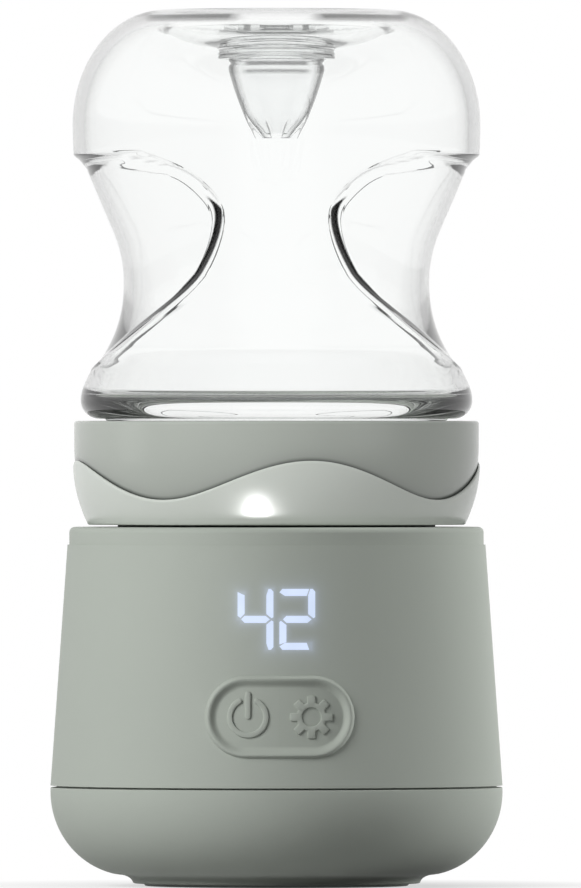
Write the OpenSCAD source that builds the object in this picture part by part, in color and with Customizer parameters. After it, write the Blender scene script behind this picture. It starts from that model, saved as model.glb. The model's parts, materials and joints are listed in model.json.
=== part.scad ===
// Portable bottle warmer with a twist-on adapter and an upturned feeding bottle.
// Millimetres. +Z is up, the front with the keypad faces -Y, the origin is the middle of the foot.

/* [Battery pack] */
// Length of one cell
cell_len = 65; // [60:0.5:70]
// Diameter of one cell in its sleeve
cell_d = 18.4; // [17:0.1:19]
// Gap between neighbouring cells
cell_gap = 0.6; // [0.3:0.1:1.5]
// Room between the corners of the pack and the shell
pack_room = 2.11; // [1.9:0.01:5]
// Height of the lowest cell above the floor of the bowl
cell_lift = 5; // [4:0.5:8]

/* [Base shell] */
// Thickness of the moulded walls
wall = 2.4; // [1.8:0.1:2.8]
// Height of the parting line between bowl and upper housing
parting_z = 18.5; // [16:0.5:22]
// Height of the top edge of the upper housing
housing_top_z = 63.4; // [62:0.2:70]
// How far the upper housing draws in from bottom to top
housing_taper = 3.16; // [1:0.02:4]
// Shadow gap at the parting line
shadow_gap = 0.35; // [0.2:0.05:0.6]
// Radius of the foot
foot_r = 26.7; // [25.5:0.1:29]
// Width of the flare from the foot into the bowl
foot_flare = 1.9; // [1:0.1:3]
// Radius at which the round of the bowl levels out
bowl_level_r = 27; // [25:0.2:30]
// Height of the underside of the bowl beside the foot
bowl_under_z = 1.9; // [1.5:0.1:2.4]

/* [Foot pad] */
// Radius of the soft foot pad
pad_r = 24.6; // [23.8:0.1:24.8]
// Thickness of the foot pad
pad_t = 1.7; // [1.2:0.1:2]
// How far the pad stands below the foot
pad_proud = 0.5; // [0.3:0.1:0.8]

/* [Deck and heater] */
// Height of the rim of the deck above the upper housing
deck_rim_h = 3.3; // [2.8:0.1:5]
// How far the rim of the deck is set in from the upper housing
deck_inset = 0.34; // [0:0.02:0.8]
// Round on the upper edge of the deck
deck_round = 1; // [0.5:0.1:1.6]
// Depth of the tongue of the deck inside the upper housing
deck_tongue_h = 3.9; // [2.5:0.1:5]
// Width of the deck outside the collar round the heater
deck_ledge = 9; // [8.4:0.1:9.8]
// Height of the collar above the deck
collar_h = 7.1; // [6.6:0.1:9]
// Wall of the collar
collar_wall = 1.9; // [1.4:0.1:2.1]
// Width of the lip that turns inwards at the top of the collar
collar_lip = 2.1; // [1.6:0.1:2.4]
// Thickness of that lip
collar_lip_t = 1.2; // [0.8:0.1:1.6]
// Thickness of the sheet of the heating plate
plate_t = 0.6; // [0.4:0.1:1]
// How far the plateau of the heating plate stands above its rim
plate_rise = 1.2; // [0.9:0.1:1.4]
// Thickness of the silicone seal under the lip
seal_t = 0.8; // [0.5:0.1:1.2]
// Thickness of the heating element
element_t = 1; // [0.6:0.1:1.4]
// Thickness of the insulation under the element
insulation_t = 2; // [1:0.1:2.4]
// Thickness of the shelf and flange of the heater bracket
bracket_t = 2; // [1.6:0.1:2.2]

/* [Display] */
// Height of the middle of the digits
display_z = 49.8; // [48:0.1:51]
// Width between the middles of the upright strokes
digit_w = 5.3; // [4:0.1:5.6]
// Height between the middles of two level strokes
digit_h = 4.96; // [4:0.02:5.2]
// Distance between the middles of the two digits
digit_pitch = 7.7; // [7.2:0.1:8.6]
// Width of a stroke
stroke_w = 1.3; // [0.8:0.1:1.5]
// Depth from the inside of the front wall to the display board
display_depth = 7.4; // [7:0.1:8]

/* [Keypad] */
// Height of the middle of the keypad
keypad_z = 31.8; // [31:0.1:33]
// Sideways place of the middle of the keypad
keypad_x = 0.6; // [-1:0.1:1]
// Width of the keypad over its raised rim
keypad_w = 27.5; // [26:0.1:29]
// Height of the keypad over its raised rim
keypad_h = 15.1; // [14.4:0.1:15.6]
// Width of the raised rim
rim_w = 1.75; // [1.6:0.05:2]
// Height of the raised rim above the shell
rim_proud = 0.7; // [0.4:0.05:0.9]
// Depth of the key faces below the shell
key_sink = 0.3; // [0.1:0.05:0.5]
// Height of the raised symbols above the key faces
symbol_t = 0.4; // [0.2:0.05:0.6]
// Distance between the middles of the two symbols
symbol_pitch = 11.7; // [11:0.1:12.4]
// Travel of a key
key_travel = 0.35; // [0.2:0.05:0.5]

/* [Charging socket] */
// Height of the middle of the charging socket
socket_z = 26; // [25:0.2:29]
// Width of the socket over its shell
socket_w = 8.9; // [8.6:0.1:9.2]
// Height of the socket over its shell
socket_h = 3.2; // [3:0.1:3.4]

/* [Adapter] */
// Clear gap between the deck and the adapter
adapter_gap = 0.4; // [0.3:0.05:0.8]
// Height of the adapter
adapter_h = 19.3; // [18.8:0.1:22]
// Wall of the upper band outside the lower socket
band_wall = 5.8; // [5.2:0.05:7]
// How far the skirt at its fullest stands out from the band
skirt_proud = 0.2; // [0.1:0.05:0.6]
// Height of the mean line of the wave above the foot of the adapter
wave_mid = 8.3; // [7.5:0.1:9]
// Half of the height of the wave
wave_amp = 3.6; // [2:0.1:3.8]
// Number of waves round the adapter
wave_count = 4; // [3:1:6]
// Turn of the wave crest from the front towards the right
wave_turn = 9.9; // [0:0.1:45]
// Wall of the adapter outside the bore that takes the neck of the bottle
bore_wall = 4.6; // [4.2:0.1:5]
// Thickness of the web between the two sockets
web_t = 1.9; // [1.6:0.1:2.4]
// Angle over which one bayonet lug reaches
lug_angle = 40; // [25:1:46]
// Thickness of one bayonet lug
lug_t = 1.6; // [1.2:0.1:2]

/* [Bottle] */
// Thickness of the glass
glass_t = 2.2; // [1.8:0.1:2.4]
// Room between the neck and the bore, for the screw thread
neck_room = 1.4; // [1:0.1:2]
// Gap between the adapter and the shoulder of the bottle
shoulder_gap = 0.4; // [0.3:0.05:1]
// How far the lower shoulder is set in from the adapter
shoulder_inset = 1.2; // [0:0.1:2]
// Height from the underside of the shoulder to its fullest ring
shoulder_rise = 3.4; // [3:0.1:5]
// How far the narrow ring above the shoulder draws in from it
waist_in = 3.1; // [2.4:0.1:3.6]
// Height of the narrow ring above the fullest ring of the shoulder
waist_rise = 9.8; // [9:0.1:12]
// How far the plain panels between the two grips are set in from the shoulder
panel_in = 0.3; // [0:0.1:0.8]
// Height of the panels above the narrow ring
panel_rise = 14; // [12:0.5:18]
// How far the dome at its fullest stands out past the shoulder
dome_out = 1.5; // [1:0.1:2.6]
// Height of the fullest ring of the dome above the panel line
dome_rise = 27.4; // [26:0.2:30]
// Height of the dome above its fullest ring
dome_h = 21.4; // [20:0.2:24]
// Width of the round of the dome, from its fullest ring in to the crest
dome_round = 16.9; // [15:0.1:19]
// Depth of the dish in the top
dish_depth = 4.2; // [3.6:0.1:5]
// Radius of the level floor of the dish
dish_floor_r = 14.2; // [13:0.1:15]

/* [Grip scoops] */
// Lean of the axis about which a scoop is turned
scoop_lean = 18.5; // [14:0.5:22]
// Place of that axis past the middle of the bottle
scoop_offset = 16; // [14:0.1:18]
// Depth of the grip at its narrowest part, in from the shoulder
grip_in = 8; // [6.4:0.1:8.6]
// Height of the narrowest part above the narrow ring
grip_rise = 12; // [11:0.2:13]
// Round of the scoop seen from the front
scoop_round = 24; // [22:0.1:26]
// Lean of the upper slope of the scoop
scoop_slope = 23.5; // [20:0.5:26]
// Height of the upper slope above the narrowest part
scoop_slope_h = 21; // [19.6:0.2:22]
// Lean of the short ledge above the slope
scoop_ledge = 31; // [28:1:40]

/* [Vent valve] */
// Radius of the hole for the valve
vent_r = 9; // [8.4:0.1:9.4]
// Wall of the glass boss round that hole
vent_boss_t = 1.9; // [1.6:0.1:2.4]
// Height of the boss below the floor of the dish
vent_boss_h = 5.2; // [4.4:0.1:7]
// Length of the straight stem of the valve
valve_stem_h = 7; // [6:0.1:9]
// Length of the fluted cone
valve_cone_h = 12.7; // [10:0.1:16]
// Radius of the tip of the cone
valve_tip_r = 3.85; // [3.2:0.05:4.4]
// Wall of the valve
valve_wall = 1.2; // [0.8:0.1:1.5]
// Thickness of the four lips at the tip
lip_t = 1.9; // [1.4:0.1:2.4]

/* [Hidden] */
$fn = 96;

// Colours
sage = "#a8aea6";
pale_sage = "#bcc2ba";
soft_grey = "#8f9690";
steel = "#c4c6c8";
board_green = "#2f6b4a";
cell_blue = "#4d7fa8";
frame_grey = "#55595c";
lit_white = "#e6eeff";
clear_glass = [0.86, 0.92, 0.94, 0.45];
clear_soft = [0.9, 0.92, 0.92, 0.6];

// Clearances and small parts
fit = 0.1;
slide_gap = 0.15;
touch_gap = 0.02;
over = 1;
screw_r = 1.3;
screw_head_r = 2.4;
screw_head_t = 1.5;
small_screw_r = 0.9;
small_head_r = 1.8;
small_head_t = 1;
post_r = 2.2;
rim_flange_w = 1.5;
board_t = 1.5;
steps = 12;

// Shell
cell_r = cell_d / 2;
cell_pitch = cell_d + cell_gap;
pack_half_y = cell_pitch / 2 + cell_r;
base_r = norm([cell_len / 2, pack_half_y]) + pack_room + wall;
housing_z0 = parting_z + shadow_gap / 2;
bowl_top_z = parting_z - shadow_gap / 2;
bowl_straight_h = 0.8;
housing_h = housing_top_z - housing_z0;
bowl_round_z = bowl_top_z - bowl_straight_h;
bowl_a = base_r - bowl_level_r;
bowl_b = bowl_round_z - bowl_under_z;
floor_z = bowl_under_z + wall;
function shell_r(z) = base_r - housing_taper * (z - housing_z0) / housing_h;
function bowl_point(t, shrink) =
    [bowl_level_r + (bowl_a - shrink) * cos(t), bowl_round_z - (bowl_b - shrink) * sin(t)];
flare_angle = acos((foot_r + foot_flare - bowl_level_r) / bowl_a);
flare_top = bowl_point(flare_angle, 0);
tongue_t = 1.1;
tongue_h = 3.4;
tongue_r = shell_r(housing_z0 + tongue_h) - wall - fit;
shadow_depth = 1.1;

// Battery pack
cell_z = [for (i = [0:1]) floor_z + cell_lift + cell_r + i * cell_pitch];
cell_y = [for (i = [0:1]) (i - 0.5) * cell_pitch];
frame_t = 4;
frame_inset = 13.5;
frame_x = cell_len / 2 - frame_inset;
frame_margin = 1.6;
frame_top = cell_z[1] + cell_r + frame_margin;
frame_foot_y = cell_pitch / 2 + screw_head_r + over;
strap_t = 0.3;
strap_w = 8;

// Deck and heater
deck_r = shell_r(housing_top_z) - deck_inset;
deck_z = housing_top_z + deck_rim_h;
deck_under = deck_z - wall;
collar_r = deck_r - deck_ledge;
deck_bore = collar_r - collar_wall;
deck_tongue_r = shell_r(housing_top_z) - wall - fit;
deck_tongue_t = 1.5;
collar_z = deck_z + collar_h;
lip_under = collar_z - collar_lip_t;
lip_r = deck_bore - collar_lip;
bracket_wall = 1.5;
plateau_gap = 0.7;
element_gap = 0.4;
flange_gap = 1.5;
screw_bite = 1.7;
plate_rim_r = deck_bore - 2 * fit;
plate_rim_top = lip_under - seal_t;
plate_rim_z = plate_rim_top - plate_t;
plateau_z = plate_rim_top + plate_rise;
plateau_r = lip_r - plateau_gap;
plateau_under = plateau_z - plate_t;
element_r = plateau_r - plate_t - element_gap;
element_z = plateau_under - element_t;
insulation_z = element_z - insulation_t;
shelf_z = insulation_z - bracket_t;
bracket_r = plate_rim_r - fit;
flange_z = deck_under - bracket_t;
flange_r = deck_tongue_r - deck_tongue_t - flange_gap;
heater_screw_at = flange_r - screw_head_r;
heater_screw_len = bracket_t + screw_bite;
sensor_r = 2.4;
sensor_hole_r = sensor_r + 3 * fit;
lead_r = 0.7;
lead_x = 6;
lead_in = 5.8;
lead_y = element_r - lead_in;

// Boards
display_y = -(shell_r(display_z) - wall - display_depth);
display_edge = 7.8;
display_board_z = [keypad_z - display_edge, display_z + display_edge];
post_gap = 0.35;
post_border = 2.1;
display_post_x = keypad_w / 2 + rim_flange_w + abs(keypad_x) + post_r + post_gap;
display_board_w = 2 * (display_post_x + post_border);
display_post_in = 3;
display_post_z = [display_board_z[0] + display_post_in, display_board_z[1] - display_post_in];
block_border = 1.3;
block_set_back = 2.3;
block_w = digit_pitch + digit_w + stroke_w + 2 * block_border;
block_h = 2 * digit_h + stroke_w + 2 * block_border;
block_t = display_depth - block_set_back;
segment_sink = 0.6;
main_room = 11.8;
main_y = pack_half_y + main_room;
main_board_w = 28;
main_board_h = 35;
main_edge = 4.5;
main_board_z = [socket_z - main_edge, socket_z - main_edge + main_board_h];
main_post_x = 11;
main_post_in = 3;
main_post_z = [main_board_z[0] + main_post_in, main_board_z[1] - main_post_in];
post_hole_h = 3.2;

// Keypad
window_w = keypad_w - 2 * rim_w;
window_h = keypad_h - 2 * rim_w;
key_lip_depth = 1.85;
key_back = 2.9;
key_flange_w = 0.7;
rim_flange_t = 1;
key_post_r = 1.4;
switch_w = 4.6;
switch_t = 1.8;
plunger_r = 0.9;
plunger_out = 1.6;
plunger_in = 1;
plunger_tip = display_y - switch_t - plunger_out;

// Charging socket
socket_wall = 0.3;
socket_sink = 0.5;
socket_face = shell_r(socket_z) - socket_sink;
socket_back = main_y + board_t;

// Adapter
adapter_z = deck_z + adapter_gap;
adapter_top = adapter_z + adapter_h;
lug_lift = 3.2;
lug_reach = 1.8;
lug_z = deck_z + lug_lift;
lug_r = collar_r + lug_reach;
lock_gap = 0.4;
socket_r = lug_r + lock_gap + fit;
band_straight_h = 4.4;
band_fall_z = adapter_top - band_straight_h;
band_fall = 0.016;
skirt_full_h = 11.4;
skirt_full_z = adapter_z + skirt_full_h;
skirt_fall = 0.0215;
band_r = socket_r + band_wall;
skirt_r = band_r + skirt_proud;
bore_r = band_r - bore_wall;
function band_at(z) = band_r - band_fall * pow(max(0, band_fall_z - z), 2);
function skirt_at(z) = skirt_r - skirt_fall * pow(max(0, skirt_full_z - z), 2);
wave_top = adapter_z + wave_mid + wave_amp;
ledge_z = adapter_z + lock_gap;
ledge_h = lug_z - lock_gap - ledge_z;
ledge_angle = 56;
web_gap = 0.5;
web_z = collar_z + web_gap;
web_top = web_z + web_t;
web_open_r = lip_r + fit;
gasket_t = 1.4;
plate_gasket_t = 1.4;
gasket_lap = 1;
neck_z = web_top + gasket_t + touch_gap;
band_round = 0.6;

// Bottle
neck_r = bore_r - neck_room;
shoulder_r = band_r - shoulder_inset;
waist_r = shoulder_r - waist_in;
panel_r = shoulder_r - panel_in;
dome_r = shoulder_r + dome_out;
crest_r = dome_r - dome_round;
grip_r = shoulder_r - grip_in;
shoulder_z = adapter_top + shoulder_gap;
full_z = shoulder_z + shoulder_rise;
waist_z = full_z + waist_rise;
panel_z = waist_z + panel_rise;
dome_z = panel_z + dome_rise;
crest_z = dome_z + dome_h;
dish_z = crest_z - dish_depth;
grip_z = waist_z + grip_rise;
vent_boss_r = vent_r + vent_boss_t;
scoop_reach = 75;
scoop_facets = 18;
scoop_clear = 26;

// Valve
valve_r = vent_r - fit;
valve_flange_r = vent_boss_r - fit;
valve_flange_t = 1;
valve_flange_z = dish_z + touch_gap;
cone_top_z = valve_flange_z - valve_stem_h;
valve_tip_z = cone_top_z - valve_cone_h;
cap_t = 1.8;
cap_plug_h = 3;

// Soft step from 0 to 1
function ease(t) = (1 - cos(180 * t)) / 2;

// Smooth run of profile points from one ring to the next, each [radius, height]
function soft_run(a, b, n) =
    [for (i = [0:n]) [a[0] + (b[0] - a[0]) * ease(i / n), a[1] + (b[1] - a[1]) * i / n]];

// Quarter of an ellipse about a centre, from angle a to angle b
function oval_run(centre, half, a, b, n) =
    [for (i = [0:n]) let (t = a + (b - a) * i / n) centre + [half[0] * cos(t), half[1] * sin(t)]];

// Path moved sideways by d, to its left when d is positive
function beside(path, d) = [for (i = [0:len(path) - 1])
    let (a = path[max(0, i - 1)], b = path[min(len(path) - 1, i + 1)], run = (b - a) / norm(b - a))
    path[i] + d * [-run[1], run[0]]];

module revolve(points, angle = 360) {
    rotate_extrude(angle = angle) polygon(points);
}

module ring(r_out, r_in, z, h) {
    translate([0, 0, z]) difference() {
        cylinder(r = r_out, h = h);
        translate([0, 0, -over]) cylinder(r = r_in, h = h + 2 * over);
    }
}

module ring_sector(r_out, r_in, z, h, angle) {
    rotate(-angle / 2) revolve([[r_in, z], [r_out, z], [r_out, z + h], [r_in, z + h]], angle);
}

// Flat outline pushed forwards from a plane at y
module push_front(y, depth) {
    translate([0, y, 0]) rotate([90, 0, 0]) linear_extrude(depth) children();
}

module stadium(w, h) {
    square([w - h, h], center = true);
    for (s = [-1, 1]) translate([s * (w - h) / 2, 0]) circle(d = h);
}

// Solid inside the upper housing's outer cone, moved in by a depth
module shell_core(depth) {
    revolve([[0, housing_z0], [shell_r(housing_z0) - depth, housing_z0],
        [shell_r(housing_top_z) - depth, housing_top_z], [0, housing_top_z]]);
}

// Layer of an outline between two depths below the outer cone
module shell_layer(depth_out, depth_in) {
    difference() {
        intersection() {
            push_front(0, base_r + over) children();
            shell_core(depth_out);
        }
        shell_core(depth_in);
    }
}

// Screw with its head at z and its shank upwards
module screw(r, head_r, head_t, len) {
    cylinder(r = head_r, h = head_t);
    cylinder(r = r, h = head_t + len);
}

// Base

module foot_pad() color(soft_grey) {
    edge = 0.3;
    revolve([[0, 0], [pad_r - edge, 0], [pad_r, edge], [pad_r, pad_t], [0, pad_t]]);
}

frame_screw_places = [for (x = [-frame_x, frame_x], y = cell_y) [x, y]];
screw_seat_z = pad_t + screw_head_t + fit;

module lower_housing() color(sage) {
    flare = oval_run([foot_r + foot_flare, pad_proud], [-foot_flare, flare_top[1] - pad_proud], 0, 90, 6);
    outer = [for (i = [1:2 * steps]) bowl_point(flare_angle * (1 - i / (2 * steps)), 0)];
    inner = [for (i = [0:2 * steps]) bowl_point(90 * i / (2 * steps), wall)];
    difference() {
        revolve(concat([[0, pad_proud]], flare, outer,
            [[base_r, bowl_top_z], [base_r - shadow_depth, bowl_top_z], [base_r - shadow_depth, housing_z0],
            [tongue_r, housing_z0], [tongue_r, housing_z0 + tongue_h],
            [tongue_r - tongue_t, housing_z0 + tongue_h], [tongue_r - tongue_t, bowl_round_z]],
            inner, [[0, floor_z]]));
        cylinder(r = pad_r + fit, h = pad_t);
        for (p = frame_screw_places) translate([p[0], p[1], 0]) {
            cylinder(r = screw_head_r + fit, h = screw_seat_z);
            cylinder(r = screw_r + fit, h = floor_z + over);
        }
    }
}

module posts(x, z_list, y_from, towards) {
    for (s = [-1, 1], z = z_list) translate([s * x, y_from, z]) rotate([towards * 90, 0, 0]) children();
}

module display_posts() { posts(display_post_x, display_post_z, display_y, 1) children(); }
module main_posts() { posts(main_post_x, main_post_z, main_y + board_t, -1) children(); }

module upper_housing() color(sage) {
    difference() {
        union() {
            difference() {
                shell_core(0);
                translate([0, 0, housing_z0]) revolve([[0, -over],
                    [base_r - wall + over * housing_taper / housing_h, -over],
                    [shell_r(housing_top_z) - wall - over * housing_taper / housing_h, housing_h + over],
                    [0, housing_h + over]]);
            }
            intersection() {
                shell_core(wall / 2);
                union() {
                    display_posts() cylinder(r = post_r, h = base_r);
                    main_posts() cylinder(r = post_r, h = base_r);
                }
            }
        }
        display_posts() translate([0, 0, -over]) cylinder(r = small_screw_r + fit, h = post_hole_h + over);
        main_posts() translate([0, 0, -over]) cylinder(r = small_screw_r + fit, h = post_hole_h + over);
        push_front(display_y, base_r) digits();
        push_front(0, base_r + over) translate([keypad_x, keypad_z]) stadium(keypad_w + fit, keypad_h + fit);
        push_front(base_r + over, base_r) translate([0, socket_z])
            stadium(socket_w + 4 * fit, socket_h + 4 * fit);
    }
}

module top_deck() color(sage) {
    rim_round = oval_run([deck_r - deck_round, deck_z - deck_round], [deck_round, deck_round], 0, 90, 6);
    difference() {
        union() {
            revolve(concat([[deck_bore, deck_under], [deck_tongue_r - deck_tongue_t, deck_under],
                [deck_tongue_r - deck_tongue_t, housing_top_z - deck_tongue_h],
                [deck_tongue_r, housing_top_z - deck_tongue_h], [deck_tongue_r, housing_top_z],
                [deck_r, housing_top_z]], rim_round,
                [[collar_r, deck_z], [collar_r, collar_z], [lip_r, collar_z], [lip_r, lip_under],
                [deck_bore, lip_under]]));
            for (i = [0:2]) rotate(i * 120) ring_sector(lug_r, collar_r - fit, lug_z, lug_t, lug_angle);
        }
        for (i = [0:2]) rotate(i * 120 + 60) translate([heater_screw_at, 0, flange_z])
            cylinder(r = screw_r + fit, h = heater_screw_len + 2 * fit);
    }
}

module housing_screws() color(steel) {
    for (p = frame_screw_places) translate([p[0], p[1], pad_t + fit])
        screw(screw_r, screw_head_r, screw_head_t, floor_z - screw_seat_z + cell_lift - over);
}

// Battery pack

module battery_cell(i) color(cell_blue) {
    cap_r = 3.2;
    cap_h = 0.2;
    translate([0, cell_y[i % 2], cell_z[floor(i / 2)]]) rotate([0, 90, 0]) {
        translate([0, 0, -cell_len / 2]) cylinder(r = cell_r, h = cell_len - cap_h);
        cylinder(r = cap_r, h = cell_len / 2);
    }
}

module battery_frame(side) color(frame_grey) {
    outer_y = pack_half_y + frame_margin;
    difference() {
        union() {
            translate([side * frame_x - frame_t / 2, -frame_foot_y, floor_z])
                cube([frame_t, 2 * frame_foot_y, cell_lift + cell_r]);
            translate([side * frame_x - frame_t / 2, -outer_y, floor_z + cell_lift])
                cube([frame_t, 2 * outer_y, frame_top - floor_z - cell_lift]);
        }
        for (y = cell_y, z = cell_z) translate([side * frame_x - frame_t, y, z])
            rotate([0, 90, 0]) cylinder(r = cell_r + fit, h = 2 * frame_t);
        for (p = frame_screw_places) translate([p[0], p[1], 0])
            cylinder(r = screw_r + fit, h = floor_z + cell_lift + fit);
    }
}

module battery_strap(side) color(steel) {
    for (y = cell_y) translate([side * (cell_len / 2 + strap_t / 2), y, (cell_z[0] + cell_z[1]) / 2])
        cube([strap_t, strap_w, cell_pitch + strap_w], center = true);
    translate([side * (cell_len / 2 + strap_t / 2), 0, (cell_z[0] + cell_z[1]) / 2])
        cube([strap_t, cell_pitch, strap_w], center = true);
}

// Boards and charging socket

module board(w, z_range, y, post_x, post_z) {
    difference() {
        translate([-w / 2, y, z_range[0]]) cube([w, board_t, z_range[1] - z_range[0]]);
        posts(post_x, post_z, y - over, -1) cylinder(r = small_screw_r + fit, h = board_t + 2 * over);
    }
}

module main_board() color(board_green) {
    coil_r = 4.5;
    coil_t = 5;
    chip = [9, 1.4, 9];
    chip_lift = 11.5;
    coil_lift = 23.5;
    chip_z = main_board_z[0] + chip_lift;
    coil_z = main_board_z[0] + coil_lift;
    board(main_board_w, main_board_z, main_y, main_post_x, main_post_z);
    translate([-chip[0] / 2, main_y - chip[1], chip_z]) cube(chip);
    translate([0, main_y, coil_z]) rotate([90, 0, 0]) cylinder(r = coil_r, h = coil_t);
}

module charging_socket() color(steel) {
    difference() {
        push_front(socket_face, socket_face - socket_back) translate([0, socket_z])
            stadium(socket_w, socket_h);
        push_front(socket_face + over, socket_face - socket_back - socket_wall + over)
            translate([0, socket_z]) stadium(socket_w - 2 * socket_wall, socket_h - 2 * socket_wall);
    }
}

module charging_tongue() color(frame_grey) {
    tongue_w = 6.7;
    tongue_thick = 0.7;
    set_back = 0.8;
    len = socket_face - set_back - socket_back - socket_wall;
    translate([-tongue_w / 2, socket_back + socket_wall, socket_z - tongue_thick / 2])
        cube([tongue_w, len, tongue_thick]);
}

module display_board() color(board_green)
    board(display_board_w, display_board_z, display_y, display_post_x, display_post_z);

// Seven strokes of a digit, whose ends meet in slanting cuts
digit_x = digit_w / 2 + stroke_w / 2;
digit_y = digit_h + stroke_w / 2;
inner_x = digit_x - stroke_w;
function turned(points) = [for (p = points) [p[0], -p[1]]];
stroke_top = [[-digit_x, digit_y - 0.5 * stroke_w], [0.4 * stroke_w - digit_x, digit_y],
    [inner_x + 0.15 * stroke_w, digit_y], [inner_x - 0.2 * stroke_w, digit_y - stroke_w],
    [-inner_x - 0.2 * stroke_w, digit_y - stroke_w]];
stroke_right = [[inner_x, digit_y - 0.9 * stroke_w], [inner_x + 0.3 * stroke_w, digit_y],
    [digit_x - 0.35 * stroke_w, digit_y], [digit_x, digit_y - 0.4 * stroke_w], [digit_x, 0.3 * stroke_w],
    [digit_x - 0.25 * stroke_w, 0.15 * stroke_w], [inner_x, 0.75 * stroke_w]];
stroke_upper_left = [[-digit_x, digit_y - 0.45 * stroke_w], [-inner_x, digit_y - 0.9 * stroke_w],
    [-inner_x, 0.8 * stroke_w], [0.4 * stroke_w - digit_x, 0.2 * stroke_w], [-digit_x, 0.5 * stroke_w]];
stroke_lower_left = [[-digit_x, 0.75 * stroke_w - digit_y], [-inner_x, 1.1 * stroke_w - digit_y],
    [-inner_x, -0.8 * stroke_w], [0.2 * stroke_w - digit_x, -0.2 * stroke_w], [-digit_x, -0.4 * stroke_w]];
stroke_middle = [[-inner_x - 0.5 * stroke_w, 0], [-inner_x, 0.5 * stroke_w],
    [inner_x - 0.1 * stroke_w, 0.5 * stroke_w], [inner_x + 0.5 * stroke_w, 0],
    [inner_x - 0.1 * stroke_w, -0.5 * stroke_w], [-inner_x, -0.5 * stroke_w]];
lit_strokes = [[stroke_right, turned(stroke_right), stroke_upper_left, stroke_middle],
    [stroke_top, stroke_right, stroke_middle, stroke_lower_left, turned(stroke_top)]];

module at_digits() {
    for (d = [0:1]) translate([(d - 0.5) * digit_pitch, display_z]) children(d);
}

module digits() {
    at_digits() {
        for (outline = lit_strokes[0]) polygon(outline);
        for (outline = lit_strokes[1]) polygon(outline);
    }
}

module display_block() color("white") {
    difference() {
        push_front(display_y, block_t) translate([0, display_z]) square([block_w, block_h], center = true);
        push_front(display_y - block_t + segment_sink, segment_sink + over) at_digits() {
            square(2 * [digit_x + fit, digit_y + fit], center = true);
            square(2 * [digit_x + fit, digit_y + fit], center = true);
        }
    }
}

module lit_segments() color(lit_white) {
    intersection() {
        push_front(display_y - block_t + segment_sink, base_r) digits();
        shell_core(0);
    }
}

module board_screws() color(steel) {
    len = post_hole_h + board_t - 2 * fit;
    posts(display_post_x, display_post_z, display_y + board_t + small_head_t, 1)
        screw(small_screw_r, small_head_r, small_head_t, len);
    posts(main_post_x, main_post_z, main_y - small_head_t, -1)
        screw(small_screw_r, small_head_r, small_head_t, len);
}

module display_ribbon() color(frame_grey) {
    ribbon_w = 10;
    ribbon_t = 0.3;
    ribbon_lift = 4;
    ribbon_z = frame_top + ribbon_lift;
    translate([-ribbon_w / 2, display_y + board_t, ribbon_z])
        cube([ribbon_w, main_y - display_y - board_t, ribbon_t]);
}

// Keypad

module keypad_pill(grow) {
    translate([keypad_x, keypad_z]) stadium(window_w + 2 * grow, window_h + 2 * grow);
}

module keypad_rim() color(sage) {
    difference() {
        union() {
            shell_layer(-rim_proud, wall) keypad_pill(rim_w);
            shell_layer(wall, wall + rim_flange_t) keypad_pill(rim_w + rim_flange_w);
        }
        push_front(0, base_r + over) keypad_pill(0);
        intersection() {
            push_front(0, base_r + over) keypad_pill(key_flange_w + slide_gap);
            shell_core(key_lip_depth);
        }
    }
}

module power_symbol() {
    ring_r = 3.85;
    ring_w = 1;
    opening = 1.5;
    bar_w = 1.1;
    bar_top = 4.2;
    bar_bottom = 0.2;
    difference() {
        circle(r = ring_r);
        circle(r = ring_r - ring_w);
        translate([-opening, 0]) square([2 * opening, 2 * ring_r]);
    }
    translate([-bar_w / 2, bar_bottom]) square([bar_w, bar_top - bar_bottom]);
    for (y = [bar_bottom, bar_top]) translate([0, y]) circle(d = bar_w);
}

module gear_symbol() {
    body_r = 2.7;
    tooth_w = 1.5;
    tooth_r = 3.95;
    hole_r = 1.76;
    difference() {
        union() {
            circle(r = body_r);
            for (i = [0:7]) rotate(i * 45) translate([0, -tooth_w / 2]) square([tooth_r, tooth_w]);
        }
        circle(r = hole_r);
    }
}

// Half of the keypad with its symbol, its retaining flange and the post to its switch
module key(side) {
    intersection() {
        union() {
            shell_layer(key_sink, key_back) keypad_pill(-slide_gap);
            shell_layer(key_lip_depth + slide_gap, key_back) keypad_pill(key_flange_w);
        }
        translate([keypad_x + (side > 0 ? slide_gap : -base_r - slide_gap), -base_r - over, 0])
            cube([base_r, base_r, housing_top_z]);
    }
    shell_layer(key_sink - symbol_t, key_sink + fit)
        translate([keypad_x + side * symbol_pitch / 2, keypad_z]) children();
    intersection() {
        translate([keypad_x + side * symbol_pitch / 2, plunger_tip - touch_gap, keypad_z])
            rotate([90, 0, 0]) cylinder(r = key_post_r, h = base_r);
        shell_core((key_sink + key_back) / 2);
    }
}

module power_key() color(pale_sage) key(-1) power_symbol();
module settings_key() color(pale_sage) key(1) gear_symbol();

module at_switch(side) {
    translate([keypad_x + side * symbol_pitch / 2, 0, keypad_z]) children();
}

module switch_bodies() color(frame_grey) {
    well = plunger_in + key_travel + slide_gap + fit;
    for (s = [-1, 1]) at_switch(s) difference() {
        translate([-switch_w / 2, display_y - switch_t, -switch_w / 2]) cube([switch_w, switch_t, switch_w]);
        translate([0, display_y - switch_t + well, 0]) rotate([90, 0, 0])
            cylinder(r = plunger_r + fit, h = well + over);
    }
}

module plunger(side) color("black") {
    at_switch(side) translate([0, display_y - switch_t + plunger_in, 0]) rotate([90, 0, 0])
        cylinder(r = plunger_r, h = plunger_in + plunger_out);
}

// Heater

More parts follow.
